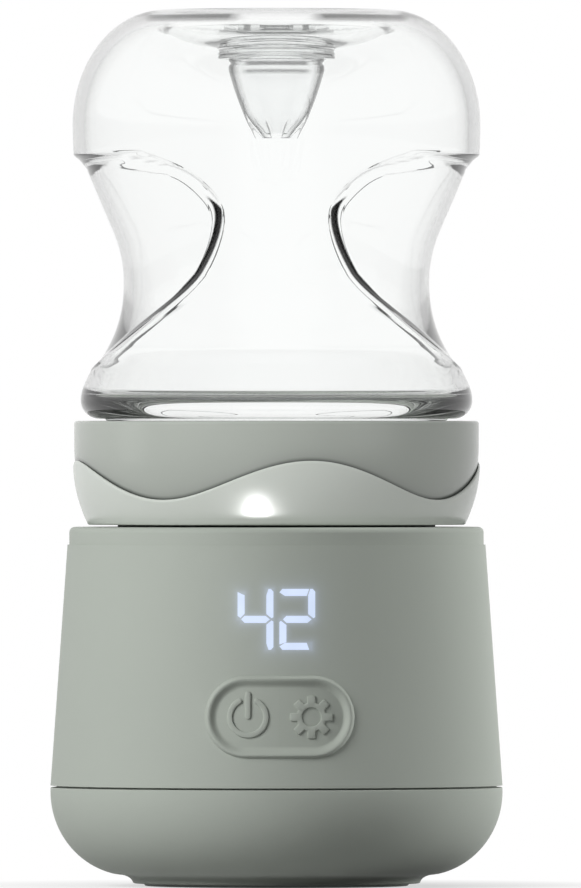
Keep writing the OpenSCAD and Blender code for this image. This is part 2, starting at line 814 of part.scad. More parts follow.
module heater_plate() color(steel) {
    revolve([[0, plateau_under], [plateau_r - plate_t, plateau_under], [plateau_r - plate_t, plate_rim_z],
        [plate_rim_r, plate_rim_z], [plate_rim_r, plate_rim_top], [plateau_r, plate_rim_top],
        [plateau_r, plateau_z], [0, plateau_z]]);
}

module heater_seal() color(soft_grey) ring(plate_rim_r, lip_r, plate_rim_top, seal_t);

module lead_holes(r) {
    for (s = [-1, 1]) translate([s * lead_x, lead_y, flange_z - over])
        cylinder(r = r, h = collar_z - flange_z + over);
}

module heating_element() color("#7a5c3c") ring(element_r, sensor_hole_r, element_z, element_t);

module insulation_pad() color("#d8d2c0") difference() {
    ring(element_r, sensor_hole_r, insulation_z, insulation_t);
    lead_holes(lead_r + fit);
}

module heater_bracket() color(frame_grey) difference() {
    revolve([[sensor_hole_r, shelf_z], [bracket_r - bracket_wall, shelf_z],
        [bracket_r - bracket_wall, flange_z], [flange_r, flange_z], [flange_r, deck_under],
        [bracket_r, deck_under], [bracket_r, plate_rim_z], [bracket_r - bracket_wall, plate_rim_z],
        [bracket_r - bracket_wall, insulation_z], [sensor_hole_r, insulation_z]]);
    lead_holes(lead_r + fit);
    for (i = [0:2]) rotate(i * 120 + 60) translate([heater_screw_at, 0, flange_z - over])
        cylinder(r = screw_r + fit, h = bracket_t + 2 * over);
}

module heater_screws() color(steel) {
    for (i = [0:2]) rotate(i * 120 + 60) translate([heater_screw_at, 0, flange_z - screw_head_t])
        screw(screw_r, screw_head_r, screw_head_t, heater_screw_len);
}

module temperature_sensor() color(steel) {
    bead_z = shelf_z - over;
    translate([0, 0, bead_z]) cylinder(r = sensor_r, h = plateau_under - bead_z);
}

// Leads from the element down through the bracket, round a bend and back to the main board
module heater_leads() color("#b04a3a") {
    bend_r = 3;
    edge = 1.2;
    board_z = main_board_z[1] - edge;
    for (s = [-1, 1]) translate([s * lead_x, lead_y, 0]) {
        translate([0, 0, board_z + bend_r]) cylinder(r = lead_r, h = element_z - board_z - bend_r);
        translate([0, bend_r, board_z + bend_r]) rotate([90, 0, 90]) rotate(180)
            rotate_extrude(angle = 90) translate([bend_r, 0]) circle(r = lead_r);
        translate([0, bend_r, board_z]) rotate([-90, 0, 0])
            cylinder(r = lead_r, h = main_y - lead_y - bend_r);
    }
}

// Adapter

module adapter_body() color(sage) {
    outer = [for (i = [0:steps]) let (z = adapter_z + (band_fall_z - adapter_z) * i / steps) [band_at(z), z]];
    edge = oval_run([band_r - band_round, adapter_top - band_round], [band_round, band_round], 0, 90, 4);
    difference() {
        union() {
            revolve(concat([[socket_r, adapter_z]], outer, edge, [[bore_r, adapter_top], [bore_r, web_top],
                [web_open_r, web_top], [web_open_r, web_z], [socket_r, web_z]]));
            for (i = [0:2]) rotate(i * 120)
                ring_sector(socket_r + fit, collar_r + lock_gap, ledge_z, ledge_h, ledge_angle);
        }
        ring(collar_r, deck_bore - gasket_lap, web_z - over, collar_z + plate_gasket_t - web_z + over);
    }
}

function wave_z(a) = adapter_z + wave_mid + wave_amp * cos(wave_count * (a + 90 - wave_turn));

// Everything above the wave, as a thick ring with a waved underside
module above_wave() {
    facets_per_wave = 30;
    n = facets_per_wave * wave_count;
    r_in = bore_r;
    r_out = skirt_r + over;
    top = wave_top + over;
    points = [for (i = [0:n - 1]) let (a = 360 * i / n)
        each [for (p = [[r_in, wave_z(a)], [r_out, wave_z(a)], [r_out, top], [r_in, top]])
            [p[0] * cos(a), p[0] * sin(a), p[1]]]];
    faces = [for (i = [0:n - 1], k = [0:3])
        let (j = (i + 1) % n, m = (k + 1) % 4, a = 4 * i + k, b = 4 * i + m, c = 4 * j + m, d = 4 * j + k)
        each [[a, b, c], [a, c, d]]];
    polyhedron(points, faces);
}

module adapter_skirt() color(pale_sage) {
    rows = [for (i = [0:steps]) adapter_z + (wave_top - adapter_z) * i / steps];
    difference() {
        revolve(concat([for (z = rows) [skirt_at(z), z]],
            [for (i = [0:steps]) let (z = rows[steps - i]) [band_at(z), z]]));
        above_wave();
    }
}

module bottle_gasket() color(soft_grey) ring(bore_r - fit, neck_r - glass_t - gasket_lap, web_top, gasket_t);

module plate_gasket() color(soft_grey)
    ring(collar_r - fit, deck_bore - gasket_lap + fit, collar_z + touch_gap, plate_gasket_t - touch_gap);

// Bottle

// Outer line of the glass from the mouth up to the hole in the dish
outer_line = concat(
    [[neck_r, neck_z], [neck_r, shoulder_z]],
    oval_run([shoulder_r - shoulder_rise, full_z], [shoulder_rise, shoulder_rise], -80, 0, 6),
    [for (p = soft_run([shoulder_r, full_z], [waist_r, waist_z], 8)) if (p[1] > full_z) p],
    [for (p = soft_run([waist_r, waist_z], [panel_r, panel_z], 8)) if (p[1] > waist_z) p],
    [for (p = soft_run([panel_r, panel_z], [dome_r, dome_z], 8)) if (p[1] > panel_z) p],
    [for (p = oval_run([crest_r, dome_z], [dome_r - crest_r, dome_h], 0, 90, 14)) if (p[1] > dome_z) p],
    [for (i = [1:6]) let (t = i / 6)
        [crest_r + (dish_floor_r - crest_r) * t, crest_z - dish_depth * ease(t)]]);

inner_line = beside(outer_line, glass_t);

// Closed outline of [radius, height] swept about Z to both sides of the X axis in flat facets
module faceted_sector(outline, reach, n) {
    m = len(outline);
    points = [for (i = [0:n]) let (a = reach * (2 * i / n - 1))
        each [for (p = outline) [p[0] * cos(a), p[0] * sin(a), p[1]]]];
    sides = [for (i = [0:n - 1], k = [0:m - 1])
        let (a = i * m + k, b = i * m + (k + 1) % m, c = b + m, d = a + m)
        each [[a, c, b], [a, d, c]]];
    ends = [[for (k = [0:m - 1]) k], [for (k = [0:m - 1]) n * m + m - 1 - k]];
    polyhedron(points, concat(sides, ends));
}

// Tool for one grip: a ring turned about a leaning axis, with the grip as its inner side
module scoop(side, grow) {
    centre = [grip_r + scoop_round, grip_z];
    round_r = scoop_round + grow;
    start = -62;
    far = dome_r + scoop_clear;
    top = grip_z + scoop_slope_h;
    turn = [for (i = [0:steps]) let (t = start + (scoop_slope - start) * i / steps)
        centre + round_r * [-cos(t), sin(t)]];
    last = turn[steps];
    slope_end = last + (top - last[1]) * [tan(scoop_slope), 1];
    ledge_end = slope_end + (far - slope_end[0]) * [1, 1 / tan(scoop_ledge)];
    origin = [-scoop_offset, grip_z];
    function leaned(p) = let (q = p - origin)
        [q[0] * cos(scoop_lean) - q[1] * sin(scoop_lean), q[0] * sin(scoop_lean) + q[1] * cos(scoop_lean)];
    outline = concat(turn, [slope_end, ledge_end, [far, turn[0][1]]]);
    mirror([side < 0 ? 1 : 0, 0, 0]) translate([origin[0], 0, origin[1]]) rotate([0, scoop_lean, 0])
        faceted_sector([for (p = outline) leaned(p)], scoop_reach, scoop_facets);
}

module bottle() color(clear_glass) {
    difference() {
        difference() {
            revolve(concat(outer_line, [[0, dish_z], [0, neck_z]]));
            for (s = [-1, 1]) scoop(s, 0);
        }
        difference() {
            revolve(concat([[inner_line[0][0], neck_z - over]], inner_line,
                [[0, dish_z - glass_t], [0, neck_z - over]]));
            for (s = [-1, 1]) scoop(s, glass_t);
            translate([0, 0, dish_z - vent_boss_h]) cylinder(r = vent_boss_r, h = vent_boss_h);
        }
        translate([0, 0, dish_z - vent_boss_h - over]) cylinder(r = vent_r, h = vent_boss_h + 2 * over);
    }
}

// Vent valve

module vent_valve() color(clear_soft) {
    flute_r = 2.5;
    flute_at = 3.25;
    flute_h = 5.7;
    flute_lean = 9;
    plug_top = valve_flange_z + valve_flange_t;
    inner_r = valve_r - valve_wall;
    difference() {
        revolve([[0, valve_tip_z], [valve_tip_r, valve_tip_z], [valve_r, cone_top_z],
            [valve_r, valve_flange_z], [valve_flange_r, valve_flange_z], [valve_flange_r, plug_top],
            [inner_r, plug_top], [inner_r, cone_top_z], [0, cone_top_z - valve_cone_h / 2]]);
        for (i = [0:3]) rotate(45 + 90 * i) translate([lip_t / 2 + flute_at, 0, valve_tip_z - over])
            rotate([0, flute_lean, 0]) cylinder(r = flute_r, h = flute_h);
    }
}

module vent_cap() color(clear_soft) {
    slot_r = [4, 6.4];
    slot_angle = 50;
    cap_z = valve_flange_z + valve_flange_t;
    plug_wall = 1;
    cap_r = valve_flange_r - plug_wall;
    plug_r = valve_r - valve_wall - fit;
    edge = 0.6;
    difference() {
        revolve([[0, cap_z], [plug_r - plug_wall, cap_z], [plug_r - plug_wall, cap_z - cap_plug_h],
            [plug_r, cap_z - cap_plug_h], [plug_r, cap_z], [cap_r, cap_z], [cap_r, cap_z + cap_t - edge],
            [cap_r - edge, cap_z + cap_t], [0, cap_z + cap_t]]);
        for (i = [0:3]) rotate(90 * i)
            ring_sector(slot_r[1], slot_r[0], cap_z - over, cap_t + 2 * over, slot_angle);
    }
}

foot_pad();
lower_housing();
upper_housing();
top_deck();
housing_screws();
battery_cell(0);  // battery_cell_1
battery_cell(1);  // battery_cell_2
battery_cell(2);  // battery_cell_3
battery_cell(3);  // battery_cell_4
battery_frame(-1);  // battery_frame_left
battery_frame(1);  // battery_frame_right
battery_strap(-1);  // battery_strap_left
battery_strap(1);  // battery_strap_right
main_board();
charging_socket();
charging_tongue();
display_board();
display_block();
lit_segments();
board_screws();
keypad_rim();
power_key();
settings_key();
switch_bodies();
plunger(-1);  // power_plunger
plunger(1);  // settings_plunger
heater_plate();
heater_seal();
heating_element();
insulation_pad();
heater_bracket();
heater_screws();
temperature_sensor();
heater_leads();
display_ribbon();
adapter_body();
adapter_skirt();
bottle_gasket();
plate_gasket();
bottle();
vent_valve();
vent_cap();
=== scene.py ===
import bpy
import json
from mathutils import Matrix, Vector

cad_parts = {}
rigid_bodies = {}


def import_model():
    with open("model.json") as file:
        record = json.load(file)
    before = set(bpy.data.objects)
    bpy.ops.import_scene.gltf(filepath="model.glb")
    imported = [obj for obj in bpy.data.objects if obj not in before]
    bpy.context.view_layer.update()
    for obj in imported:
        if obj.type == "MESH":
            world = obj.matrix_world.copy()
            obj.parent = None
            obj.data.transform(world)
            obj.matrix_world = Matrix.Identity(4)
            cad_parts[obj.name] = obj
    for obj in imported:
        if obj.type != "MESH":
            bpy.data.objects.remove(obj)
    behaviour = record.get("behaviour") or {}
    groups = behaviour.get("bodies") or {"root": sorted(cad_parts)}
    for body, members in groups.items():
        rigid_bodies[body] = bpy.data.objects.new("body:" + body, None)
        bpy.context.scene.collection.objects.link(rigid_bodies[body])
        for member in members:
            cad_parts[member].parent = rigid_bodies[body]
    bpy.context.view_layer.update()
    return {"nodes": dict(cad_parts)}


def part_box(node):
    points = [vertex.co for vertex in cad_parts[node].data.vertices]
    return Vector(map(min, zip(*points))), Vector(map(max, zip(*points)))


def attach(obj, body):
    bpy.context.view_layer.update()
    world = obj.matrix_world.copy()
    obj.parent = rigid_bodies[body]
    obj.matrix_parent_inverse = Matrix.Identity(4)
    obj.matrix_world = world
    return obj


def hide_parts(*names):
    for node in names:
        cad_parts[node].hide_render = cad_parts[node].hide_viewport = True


bl_info = {
    "name": "Bottle Warmer",
    "version": (1, 0, 0),
    "blender": (4, 5, 0),
    "location": "3D View > Sidebar > Bottle Warmer",
    "description": "Dresses the packed bottle warmer with its finished pieces, finishes, light and camera",
    "category": "Object",
}

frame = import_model()

import json
import math
from types import SimpleNamespace

import bmesh
import bpy
import numpy as np
from bpy.props import FloatProperty, FloatVectorProperty, IntProperty, PointerProperty
from bpy.types import Operator, Panel, PropertyGroup
from mathutils import Vector

NODES = frame["nodes"]
MM = 0.001
# Sockets of a Mix node that mixes colours
MIX_SHARE, MIX_FIRST, MIX_SECOND, MIX_RESULT = 0, 6, 7, 2
# Mesh attribute that holds how dark the painted shade in the clear glass or silicone is at a point
EDGE_SHADE = "edge_shade"
# Heights in millimetres between which the two grips are scooped out of the bottle
SCOOPS_FROM, SCOOPS_TO = 92, 141
# Rows of points along the valve's tip, cone, stem and hollow
TIP_ROWS, CONE_ROWS, STEM_ROWS, HOLLOW_ROWS = 9, 44, 30, 36


def corner(node, end, axis):
    """One side of a node's box, in millimetres: end 0 is the low side, 1 the high side."""
    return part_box(node)[end]["xyz".index(axis)] / MM


# Sizes and colours that a user would change

def length(name, description, mm):
    return FloatProperty(name=name, description=description, default=mm * MM, min=0.0, precision=5,
                         unit="LENGTH", subtype="DISTANCE")


def angle(name, description, degrees):
    return FloatProperty(name=name, description=description, default=math.radians(degrees), subtype="ANGLE",
                         unit="ROTATION")


def level(name, description, value):
    return FloatProperty(name=name, description=description, default=value, min=0.0, soft_max=2.0,
                         subtype="FACTOR")


def fall(name, description, value):
    return FloatProperty(name=name, description=description, default=value, min=0.0, precision=4)


def count(name, description, value):
    return IntProperty(name=name, description=description, default=value, min=1)


def colour(name, description, *rgb):
    return FloatVectorProperty(name=name, description=description, default=rgb, size=3, min=0.0, max=1.0,
                               subtype="COLOR")


class BottleSizes(PropertyGroup):
    """Sizes of the glass and of the valve in its dish"""
    glass_wall: length("Glass wall", "Thickness of the glass", 2.2)
    neck_radius: length("Neck radius", "Outside of the neck", 31.606)
    shoulder_radius: length("Shoulder radius", "Fullest ring above the neck", 36.406)
    shoulder_height: length("Shoulder height", "Underside of the shoulder above the floor", 86.8)
    shoulder_round: length("Shoulder round", "Round of the shoulder", 3.4)
    floor_glass: length("Shoulder glass", "Thickness of the glass over the underside of the shoulder", 3.6)
    waist_radius: length("Waist radius", "Narrow ring above the shoulder", 33.306)
    waist_rise: length("Waist rise", "From the fullest ring of the shoulder up to the waist", 9.8)
    panel_radius: length("Panel radius", "Plain panels between the two grips", 36.106)
    panel_rise: length("Panel rise", "From the waist up to the panel line", 14.0)
    dome_height: length("Dome height", "From the fullest ring of the dome up to its crest", 21.4)
    dome_round: length("Dome round", "From the fullest ring of the dome in to the crest", 16.9)
    # The darker line under the crest is painted shade in the glass
    crest_line: length("Crest line", "Height of the darker line under the crest of the dome", 161.1)
    dish_depth: length("Dish depth", "Depth of the dish in the top", 4.2)
    dish_floor: length("Dish floor", "Radius where the dish comes down to its floor", 9.9)
    vent_radius: length("Vent radius", "Hole for the valve", 9.0)
    boss_wall: length("Boss wall", "Glass round that hole", 1.9)
    boss_height: length("Boss height", "Boss below the floor of the dish", 4.6)
    boss_rings: count("Boss rings", "Round rings on the boss", 2)
    grip_radius: length("Grip radius", "Narrowest part of the two grips, from the axis", 28.406)
    grip_rise: length("Grip rise", "Narrowest part of the grips above the waist", 12.0)
    scoop_round: length("Scoop round", "Round of a scoop seen from the front", 24.0)
    scoop_offset: length("Scoop offset", "Turning axis of a scoop past the middle", 16.0)
    scoop_lean: angle("Scoop lean", "Lean of that axis", 18.5)
    scoop_slope: angle("Scoop slope", "Lean of the upper slope of a scoop", 23.5)
    slope_height: length("Slope height", "End of the slope above the narrowest part", 21.0)
    scoop_ledge: angle("Scoop ledge", "Lean of the ledge above the slope", 41.0)
    scoop_wall: length("Scoop wall", "Thickness of the glass behind a scoop", 1.65)
    edge_round: length("Edge round", "Softening of the edge round a scoop inside", 0.5)
    step_depth: length("Step depth", "Small step down into a scoop along its edge", 0.4)
    step_width: length("Step width", "Width of that step", 1.1)
    ledge_fill: length("Ledge fill", "Glass left on the ledge between the side and the front", 0.5)
    step_fade: length("Step fade", "Distance over which a scoop's face comes back to its own line", 7.0)
    thread_rise: length("Thread rise", "How far the neck thread stands out", 0.9)
    thread_pitch: length("Thread pitch", "Rise of the neck thread in one turn", 3.6)
    lip: length("Valve lip", "Thickness of the four lips of the valve", 1.9)
    valve_tip: length("Valve tip", "Radius of the tip of the valve", 3.95)
    valve_wall: length("Valve wall", "Wall of the valve", 1.2)
    valve_groove: length("Valve groove", "Depth of the groove round the stem of the valve", 0.35)
    valve_stem: length("Valve stem", "Straight stem of the valve under its flange", 7.0)


class AdapterSizes(PropertyGroup):
    """Sizes of the twist-on adapter ring"""
    band_fall: fall("Band fall", "How fast the band draws in below its full width, per mm", 0.016)
    band_full: length("Band full height", "Height where the band reaches its full width", 82.0)
    band_round: length("Band round", "Round of the top edge", 0.6)
    bore: length("Bore", "Inside radius round the bottle's neck", 33.006)
    socket: length("Socket", "Inside radius over the collar of the base", 31.806)
    web_under: length("Web underside", "Height of the underside of the web", 74.3)
    web_over: length("Web top", "Height of the top of the web", 76.2)
    web_open: length("Web opening", "Opening in the web", 25.606)
    seal_inner: length("Seal seat inside", "Inside of the seat of the plate gasket", 26.606)
    seal_outer: length("Seal seat outside", "Outside of the seat of the plate gasket", 29.506)
    seal_top: length("Seal seat top", "Height of the top of that seat", 75.2)
    ledge_inner: length("Ledge inside", "Inside of the three locking ledges", 29.906)
    ledge_under: length("Ledge underside", "Height of the underside of the ledges", 67.5)
    ledge_over: length("Ledge top", "Height of the top of the ledges", 69.5)
    ledge_span: angle("Ledge span", "Angle that each ledge takes up", 56.0)
    skirt_fall: fall("Skirt fall", "How fast the skirt draws in below its full width, per mm", 0.0215)
    skirt_full: length("Skirt full height", "Height where the skirt reaches its full width", 78.5)
    skirt_lip: length("Skirt lip", "Height of the round of the waved lip", 0.55)
    waves: count("Waves", "Waves round the skirt", 4)
    wave_middle: length("Wave middle", "Middle height of the waved edge", 75.4)
    wave_rise: length("Wave rise", "Height of a crest above the middle", 3.6)
    wave_turn: angle("Wave turn", "Crest to the right of the front", 9.9)


class BaseSizes(PropertyGroup):
    """Sizes of the bowl, foot and keypad"""
    wall: length("Wall", "Thickness of the bowl", 2.4)
    bowl_level: length("Bowl centre", "Centre of the round of the bowl, from the axis", 27.0)
    bowl_rise: length("Bowl rise", "Height where the round of the bowl ends", 17.525)
    bowl_depth: length("Bowl depth", "Height of the round of the bowl", 15.625)
    bowl_top: length("Bowl top", "Height of the parting line", 18.325)
    foot_radius: length("Foot radius", "Outside of the foot", 26.7)
    foot_flare: length("Foot flare", "Width of the hollow flare over the foot", 3.0)
    foot_under: length("Foot underside", "Height of the foot above the floor", 0.5)
    pad_ribs: count("Pad ribs", "Rings under the foot pad", 7)
    rib_depth: length("Rib depth", "Depth of the grooves between those rings", 0.35)
    taper: length("Taper", "How much narrower the housing is at its top", 3.16)
    keypad_x: length("Keypad centre", "Middle of the keypad to the right", 0.6)
    keypad_z: length("Keypad height", "Middle of the keypad above the floor", 31.8)
    pill_half: length("Pill half run", "Half of the straight run of the keypad's outline", 6.2)
    bead_outer: length("Bead outside", "Round of the outer edge of the bead", 7.55)
    bead_width: length("Bead width", "Width of the bead and its inner slope", 2.15)
    bead_rise: length("Bead rise", "Height of the bead over the housing", 0.72)
    key_sink: length("Key sink", "Depth of the key face below the housing", 0.3)
    key_depth: length("Key depth", "Back of the keys below the housing", 2.9)
    symbol_rise: length("Symbol rise", "Height of the symbols over the key face", 0.36)
    symbol_pitch: length("Symbol pitch", "Between the two symbols", 11.7)


class Colours(PropertyGroup):
    """Colours of the finishes"""
    sage: colour("Sage", "Matt plastic of the base", 0.38, 0.41, 0.37)
    band: colour("Band", "Gloss plastic of the adapter above the wave", 0.355, 0.38, 0.345)
    skirt: colour("Skirt", "Gloss plastic of the waved skirt", 0.51, 0.54, 0.50)
    key: colour("Keys", "Silicone of the keypad", 0.36, 0.39, 0.35)
    light: colour("Light", "Lit strokes of the display", 0.55, 0.66, 0.88)
    # The halo is a painted glow that the housing itself gives off
    halo: colour("Halo", "Soft light round the strokes", 0.5, 0.62, 1.0)
    glass: colour("Glass", "Tint of the glass", 0.985, 0.992, 0.988)
    silicone: colour("Clear silicone", "Tint of the valve", 0.97, 0.975, 0.975)


class StageSettings(PropertyGroup):
    """Camera, lamps and floor"""
    distance: length("Camera distance", "From the camera to the object", 4500.0)
    frame_height: length("Frame height", "Height of the picture at the object", 165.03)
    aim_x: length("Aim right", "Middle of the picture to the right of the axis", 2.6)
    aim_z: length("Aim height", "Middle of the picture above the floor", 82.1)
    look_down: angle("Look down", "Height of the camera over the horizon", 0.0)
    key_level: level("Key light", "Level of the soft lamp at the left front", 1.08)
    rim_level: level("Rim light", "Level of the soft lamp at the right back", 1.05)
    fill_level: level("Fill light", "Level of the soft lamp at the right front, for the adapter", 0.45)
    ambient: level("Ambient", "Level of the light from all round", 0.04)


def own_properties(group):
    """The properties that a group declares itself, by name."""
    return {name: prop for name, prop in group.bl_rna.properties.items() if name not in ("rna_type", "name")}


def sizes(group):
    """A group's lengths in millimetres and its other values as they are, by name."""
    values = SimpleNamespace()
    for name, prop in own_properties(group).items():
        value = getattr(group, name)
        setattr(values, name, value / MM if prop.unit == "LENGTH" else value)
    return values


# Shapes: each is an array of points in millimetres and an array of faces

def ease(t):
    """From 0 to 1 as t goes from 0 to 1, with a soft start and end."""
    return (1 - np.cos(np.pi * np.clip(t, 0, 1))) / 2


def turned(r, turn, z):
    """Points at a radius, an angle and a height."""
    return np.stack([r * np.cos(turn), r * np.sin(turn), z], -1)


def grid(points, wrap_rows=True, wrap_columns=True):
    """Faces over rows and columns of points."""
    rows, columns = points.shape[:2]
    i = np.arange(rows if wrap_rows else rows - 1)[:, None]
    j = np.arange(columns if wrap_columns else columns - 1)[None, :]
    down, across = (i + 1) % rows, (j + 1) % columns
    faces = np.stack([i * columns + j, i * columns + across, down * columns + across, down * columns + j], -1)
    return points.reshape(-1, 3), faces.reshape(-1, 4).tolist()


def revolve(line, closed=True, steps=240):
    """A line of [radius, height] turned about the axis."""
    turn = np.linspace(0, 2 * np.pi, steps, endpoint=False)
    line = np.asarray(line, float)
    return grid(turned(line[:, 0:1], turn, np.repeat(line[:, 1:2], steps, 1)), wrap_rows=closed)


def arc(centre, half, start, end, steps):
    """Points of an ellipse from one angle to another, in degrees."""
    t = np.radians(np.linspace(start, end, steps))
    return np.stack([centre[0] + half[0] * np.cos(t), centre[1] + half[1] * np.sin(t)], -1)


def ring_sector(inner, outer, low, high, start, span, steps=28):
    """A stretch of a square ring, with flat ends."""
    turn = start + np.linspace(-span / 2, span / 2, steps)
    section = [(inner, low), (outer, low), (outer, high), (inner, high)]
    points = np.array([[(r * math.cos(t), r * math.sin(t), z) for r, z in section] for t in turn])
    points, faces = grid(points, wrap_rows=False)
    first_end = list(range(len(section)))
    last_end = [len(points) - 1 - i for i in first_end]
    return points, faces + [first_end, last_end]


def joined(*shapes):
    """Several shapes as one."""
    points, faces, start = [], [], 0
    for shape_points, shape_faces in shapes:
        points.append(shape_points)
        faces += [[start + i for i in face] for face in shape_faces]
        start += len(shape_points)
    return np.concatenate(points), faces


def in_scene(name, data):
    """A new object in the scene."""
    thing = bpy.data.objects.new(name, data)
    bpy.context.scene.collection.objects.link(thing)
    return thing


def face_outwards(mesh, merge=None):
    """Turns the faces outwards and shades them smooth; points within the merge distance become one first."""
    build = bmesh.new()
    build.from_mesh(mesh)
    if merge:
        bmesh.ops.remove_doubles(build, verts=build.verts, dist=merge)
    bmesh.ops.recalc_face_normals(build, faces=build.faces)
    build.to_mesh(mesh)
    build.free()
    mesh.shade_smooth()


def make_piece(name, shape, finish, sharp=None, shade=None):
    """An object from a shape; edges over the angle sharp, in degrees, stay sharp."""
    points, faces = shape
    mesh = bpy.data.meshes.new(name)
    mesh.from_pydata((points * MM).tolist(), [], faces)
    # shade holds painted shade, kept as a mesh attribute for the clear finishes
    if shade is not None:
        mesh.attributes.new(EDGE_SHADE, "FLOAT", "POINT").data.foreach_set("value", shade.astype(np.float32))
    face_outwards(mesh, merge=1e-7)
    if sharp:
        mesh.set_sharp_from_angle(angle=math.radians(sharp))
    mesh.materials.append(bpy.data.materials[finish])
    return in_scene(name, mesh)


def settle(piece, body, slot, *nodes):
    """Lets a piece ride on its body and stand for CAD nodes. The slot is not used."""
    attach(piece, body)
    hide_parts(*nodes)


# Formulas written in nodes

class Field:
    """The output of a node, so that a formula can be written out plainly."""

    def __init__(self, tree, socket):
        self.tree, self.socket = tree, socket

    def do(self, operation, *others):
        """A maths node with this field as its first input."""
        node = self.tree.nodes.new("ShaderNodeMath")
        node.operation = operation
        for slot, value in zip(node.inputs, (self, *others)):
            if isinstance(value, Field):
                self.tree.links.new(value.socket, slot)
            else:
                slot.default_value = value
        return Field(self.tree, node.outputs[0])

    def __add__(self, other):
        return self.do("ADD", other)

    def __sub__(self, other):
        return self.do("SUBTRACT", other)

    def __mul__(self, other):
        return self.do("MULTIPLY", other)

    def __truediv__(self, other):
        return self.do("DIVIDE", other)

    def share(self, start, end):
        """From 0 at start to 1 at end, held level outside them."""
        node = self.tree.nodes.new("ShaderNodeMapRange")
        self.tree.links.new(self.socket, node.inputs["Value"])
        node.inputs["From Min"].default_value = start
        node.inputs["From Max"].default_value = end
        return Field(self.tree, node.outputs["Result"])

    def to(self, socket):
        """Links this field to a socket."""
        self.tree.links.new(self.socket, socket)


def split(tree, vector):
    """The x, y and z of a vector socket as fields."""
    node = tree.nodes.new("ShaderNodeSeparateXYZ")
    tree.links.new(vector, node.inputs[0])
    return [Field(tree, out) for out in node.outputs]


def coordinates(tree, scale=None):
    """Object coordinates, stretched by a Mapping node where a scale is given."""
    place = tree.nodes.new("ShaderNodeTexCoord").outputs["Object"]
    if scale:
        mapping = tree.nodes.new("ShaderNodeMapping")
        mapping.inputs["Scale"].default_value = scale
        tree.links.new(place, mapping.inputs["Vector"])
        place = mapping.outputs["Vector"]
    return place


def noise(tree, vector, scale, detail=3.0):
    """A field of soft noise."""
    node = tree.nodes.new("ShaderNodeTexNoise")
    node.inputs["Scale"].default_value = scale
    node.inputs["Detail"].default_value = detail
    tree.links.new(vector, node.inputs["Vector"])
    return Field(tree, node.outputs["Fac"])


def finish(name, rgb, roughness, **sockets):
    """A new material whose shader's own sockets hold what is the same all over: its tree and shader."""
    material = bpy.data.materials.new(name)
    material.use_nodes = True
    shader = material.node_tree.nodes["Principled BSDF"]
    shader.inputs["Base Color"].default_value = (*rgb, 1)
    shader.inputs["Roughness"].default_value = roughness
    for label, value in sockets.items():
        shader.inputs[label.replace("_", " ")].default_value = value
    return material.node_tree, shader


def shader_of(name):
    """The tree and shader of a material made before."""
    tree = bpy.data.materials[name].node_tree
    return tree, tree.nodes["Principled BSDF"]


def mixed(tree, share, first, second):
    """The socket of a colour between two others, each a colour or a socket, by a share from 0 to 1."""
    node = tree.nodes.new("ShaderNodeMix")
    node.data_type = "RGBA"
    share.to(node.inputs[MIX_SHARE])
    for slot, value in ((MIX_FIRST, first), (MIX_SECOND, second)):
        if isinstance(value, bpy.types.NodeSocket):
            tree.links.new(value, node.inputs[slot])
        else:
            node.inputs[slot].default_value = (*value, 1)
    return node.outputs[MIX_RESULT]


def vary(tree, shader, field, rgb, amount):
    """Makes the colour a little darker and lighter along a field."""
    darker = [c * (1 - amount) for c in rgb]
    lighter = [min(1, c * (1 + amount)) for c in rgb]
    tree.links.new(mixed(tree, field, darker, lighter), shader.inputs["Base Color"])


def bump(tree, shader, field, depth_mm):
    """Lets a field stand out of the surface by a depth."""
    node = tree.nodes.new("ShaderNodeBump")
    node.inputs["Distance"].default_value = depth_mm * MM
    node.inputs["Strength"].default_value = 1.0
    field.to(node.inputs["Height"])
    tree.links.new(node.outputs["Normal"], shader.inputs["Normal"])


def grained(name, rgb, roughness, grain=4000.0, shade=0.03, depth_mm=0.012, rough_share=0.06, **sockets):
    """A moulded finish with fine grain in its colour, roughness and surface."""
    fine_share, broad_times = 0.6, 60
    tree, shader = finish(name, rgb, roughness, **sockets)
    place = coordinates(tree)
    fine, broad = noise(tree, place, grain), noise(tree, place, grain / broad_times, detail=2.0)
    vary(tree, shader, fine * fine_share + broad * (1 - fine_share), rgb, shade)
    (broad * (2 * rough_share) + (roughness - rough_share)).to(shader.inputs["Roughness"])
    bump(tree, shader, fine, depth_mm)


def turned_metal(name, rgb, roughness):
    """Steel with the fine rings that a lathe or a polishing wheel leaves."""
    ring_scale, ring_detail, ring_depth_mm = 5200.0, 4.0, 0.004
    slant, shade = 0.35, 0.08
    tree, shader = finish(name, rgb, roughness, Metallic=1.0)
    x, y, z = split(tree, coordinates(tree))
    radius = (x * x + y * y).do("SQRT")
    node = tree.nodes.new("ShaderNodeTexNoise")
    node.noise_dimensions = "1D"
    node.inputs["Scale"].default_value = ring_scale
    node.inputs["Detail"].default_value = ring_detail
    (radius + z * slant).to(node.inputs["W"])
    rings = Field(tree, node.outputs["Fac"])
    vary(tree, shader, rings, rgb, shade)
    (rings * (2 * shade) + (roughness - shade)).to(shader.inputs["Roughness"])
    bump(tree, shader, rings, ring_depth_mm)


def striped(name, rgb, roughness, scale, depth_mm, shade=0.18):
    """A finish drawn out along one direction, such as film, felt or a wound sleeve."""
    tree, shader = finish(name, rgb, roughness)
    field = noise(tree, coordinates(tree, scale), 1.0, detail=4.0)
    vary(tree, shader, field, rgb, shade)
    bump(tree, shader, field, depth_mm)


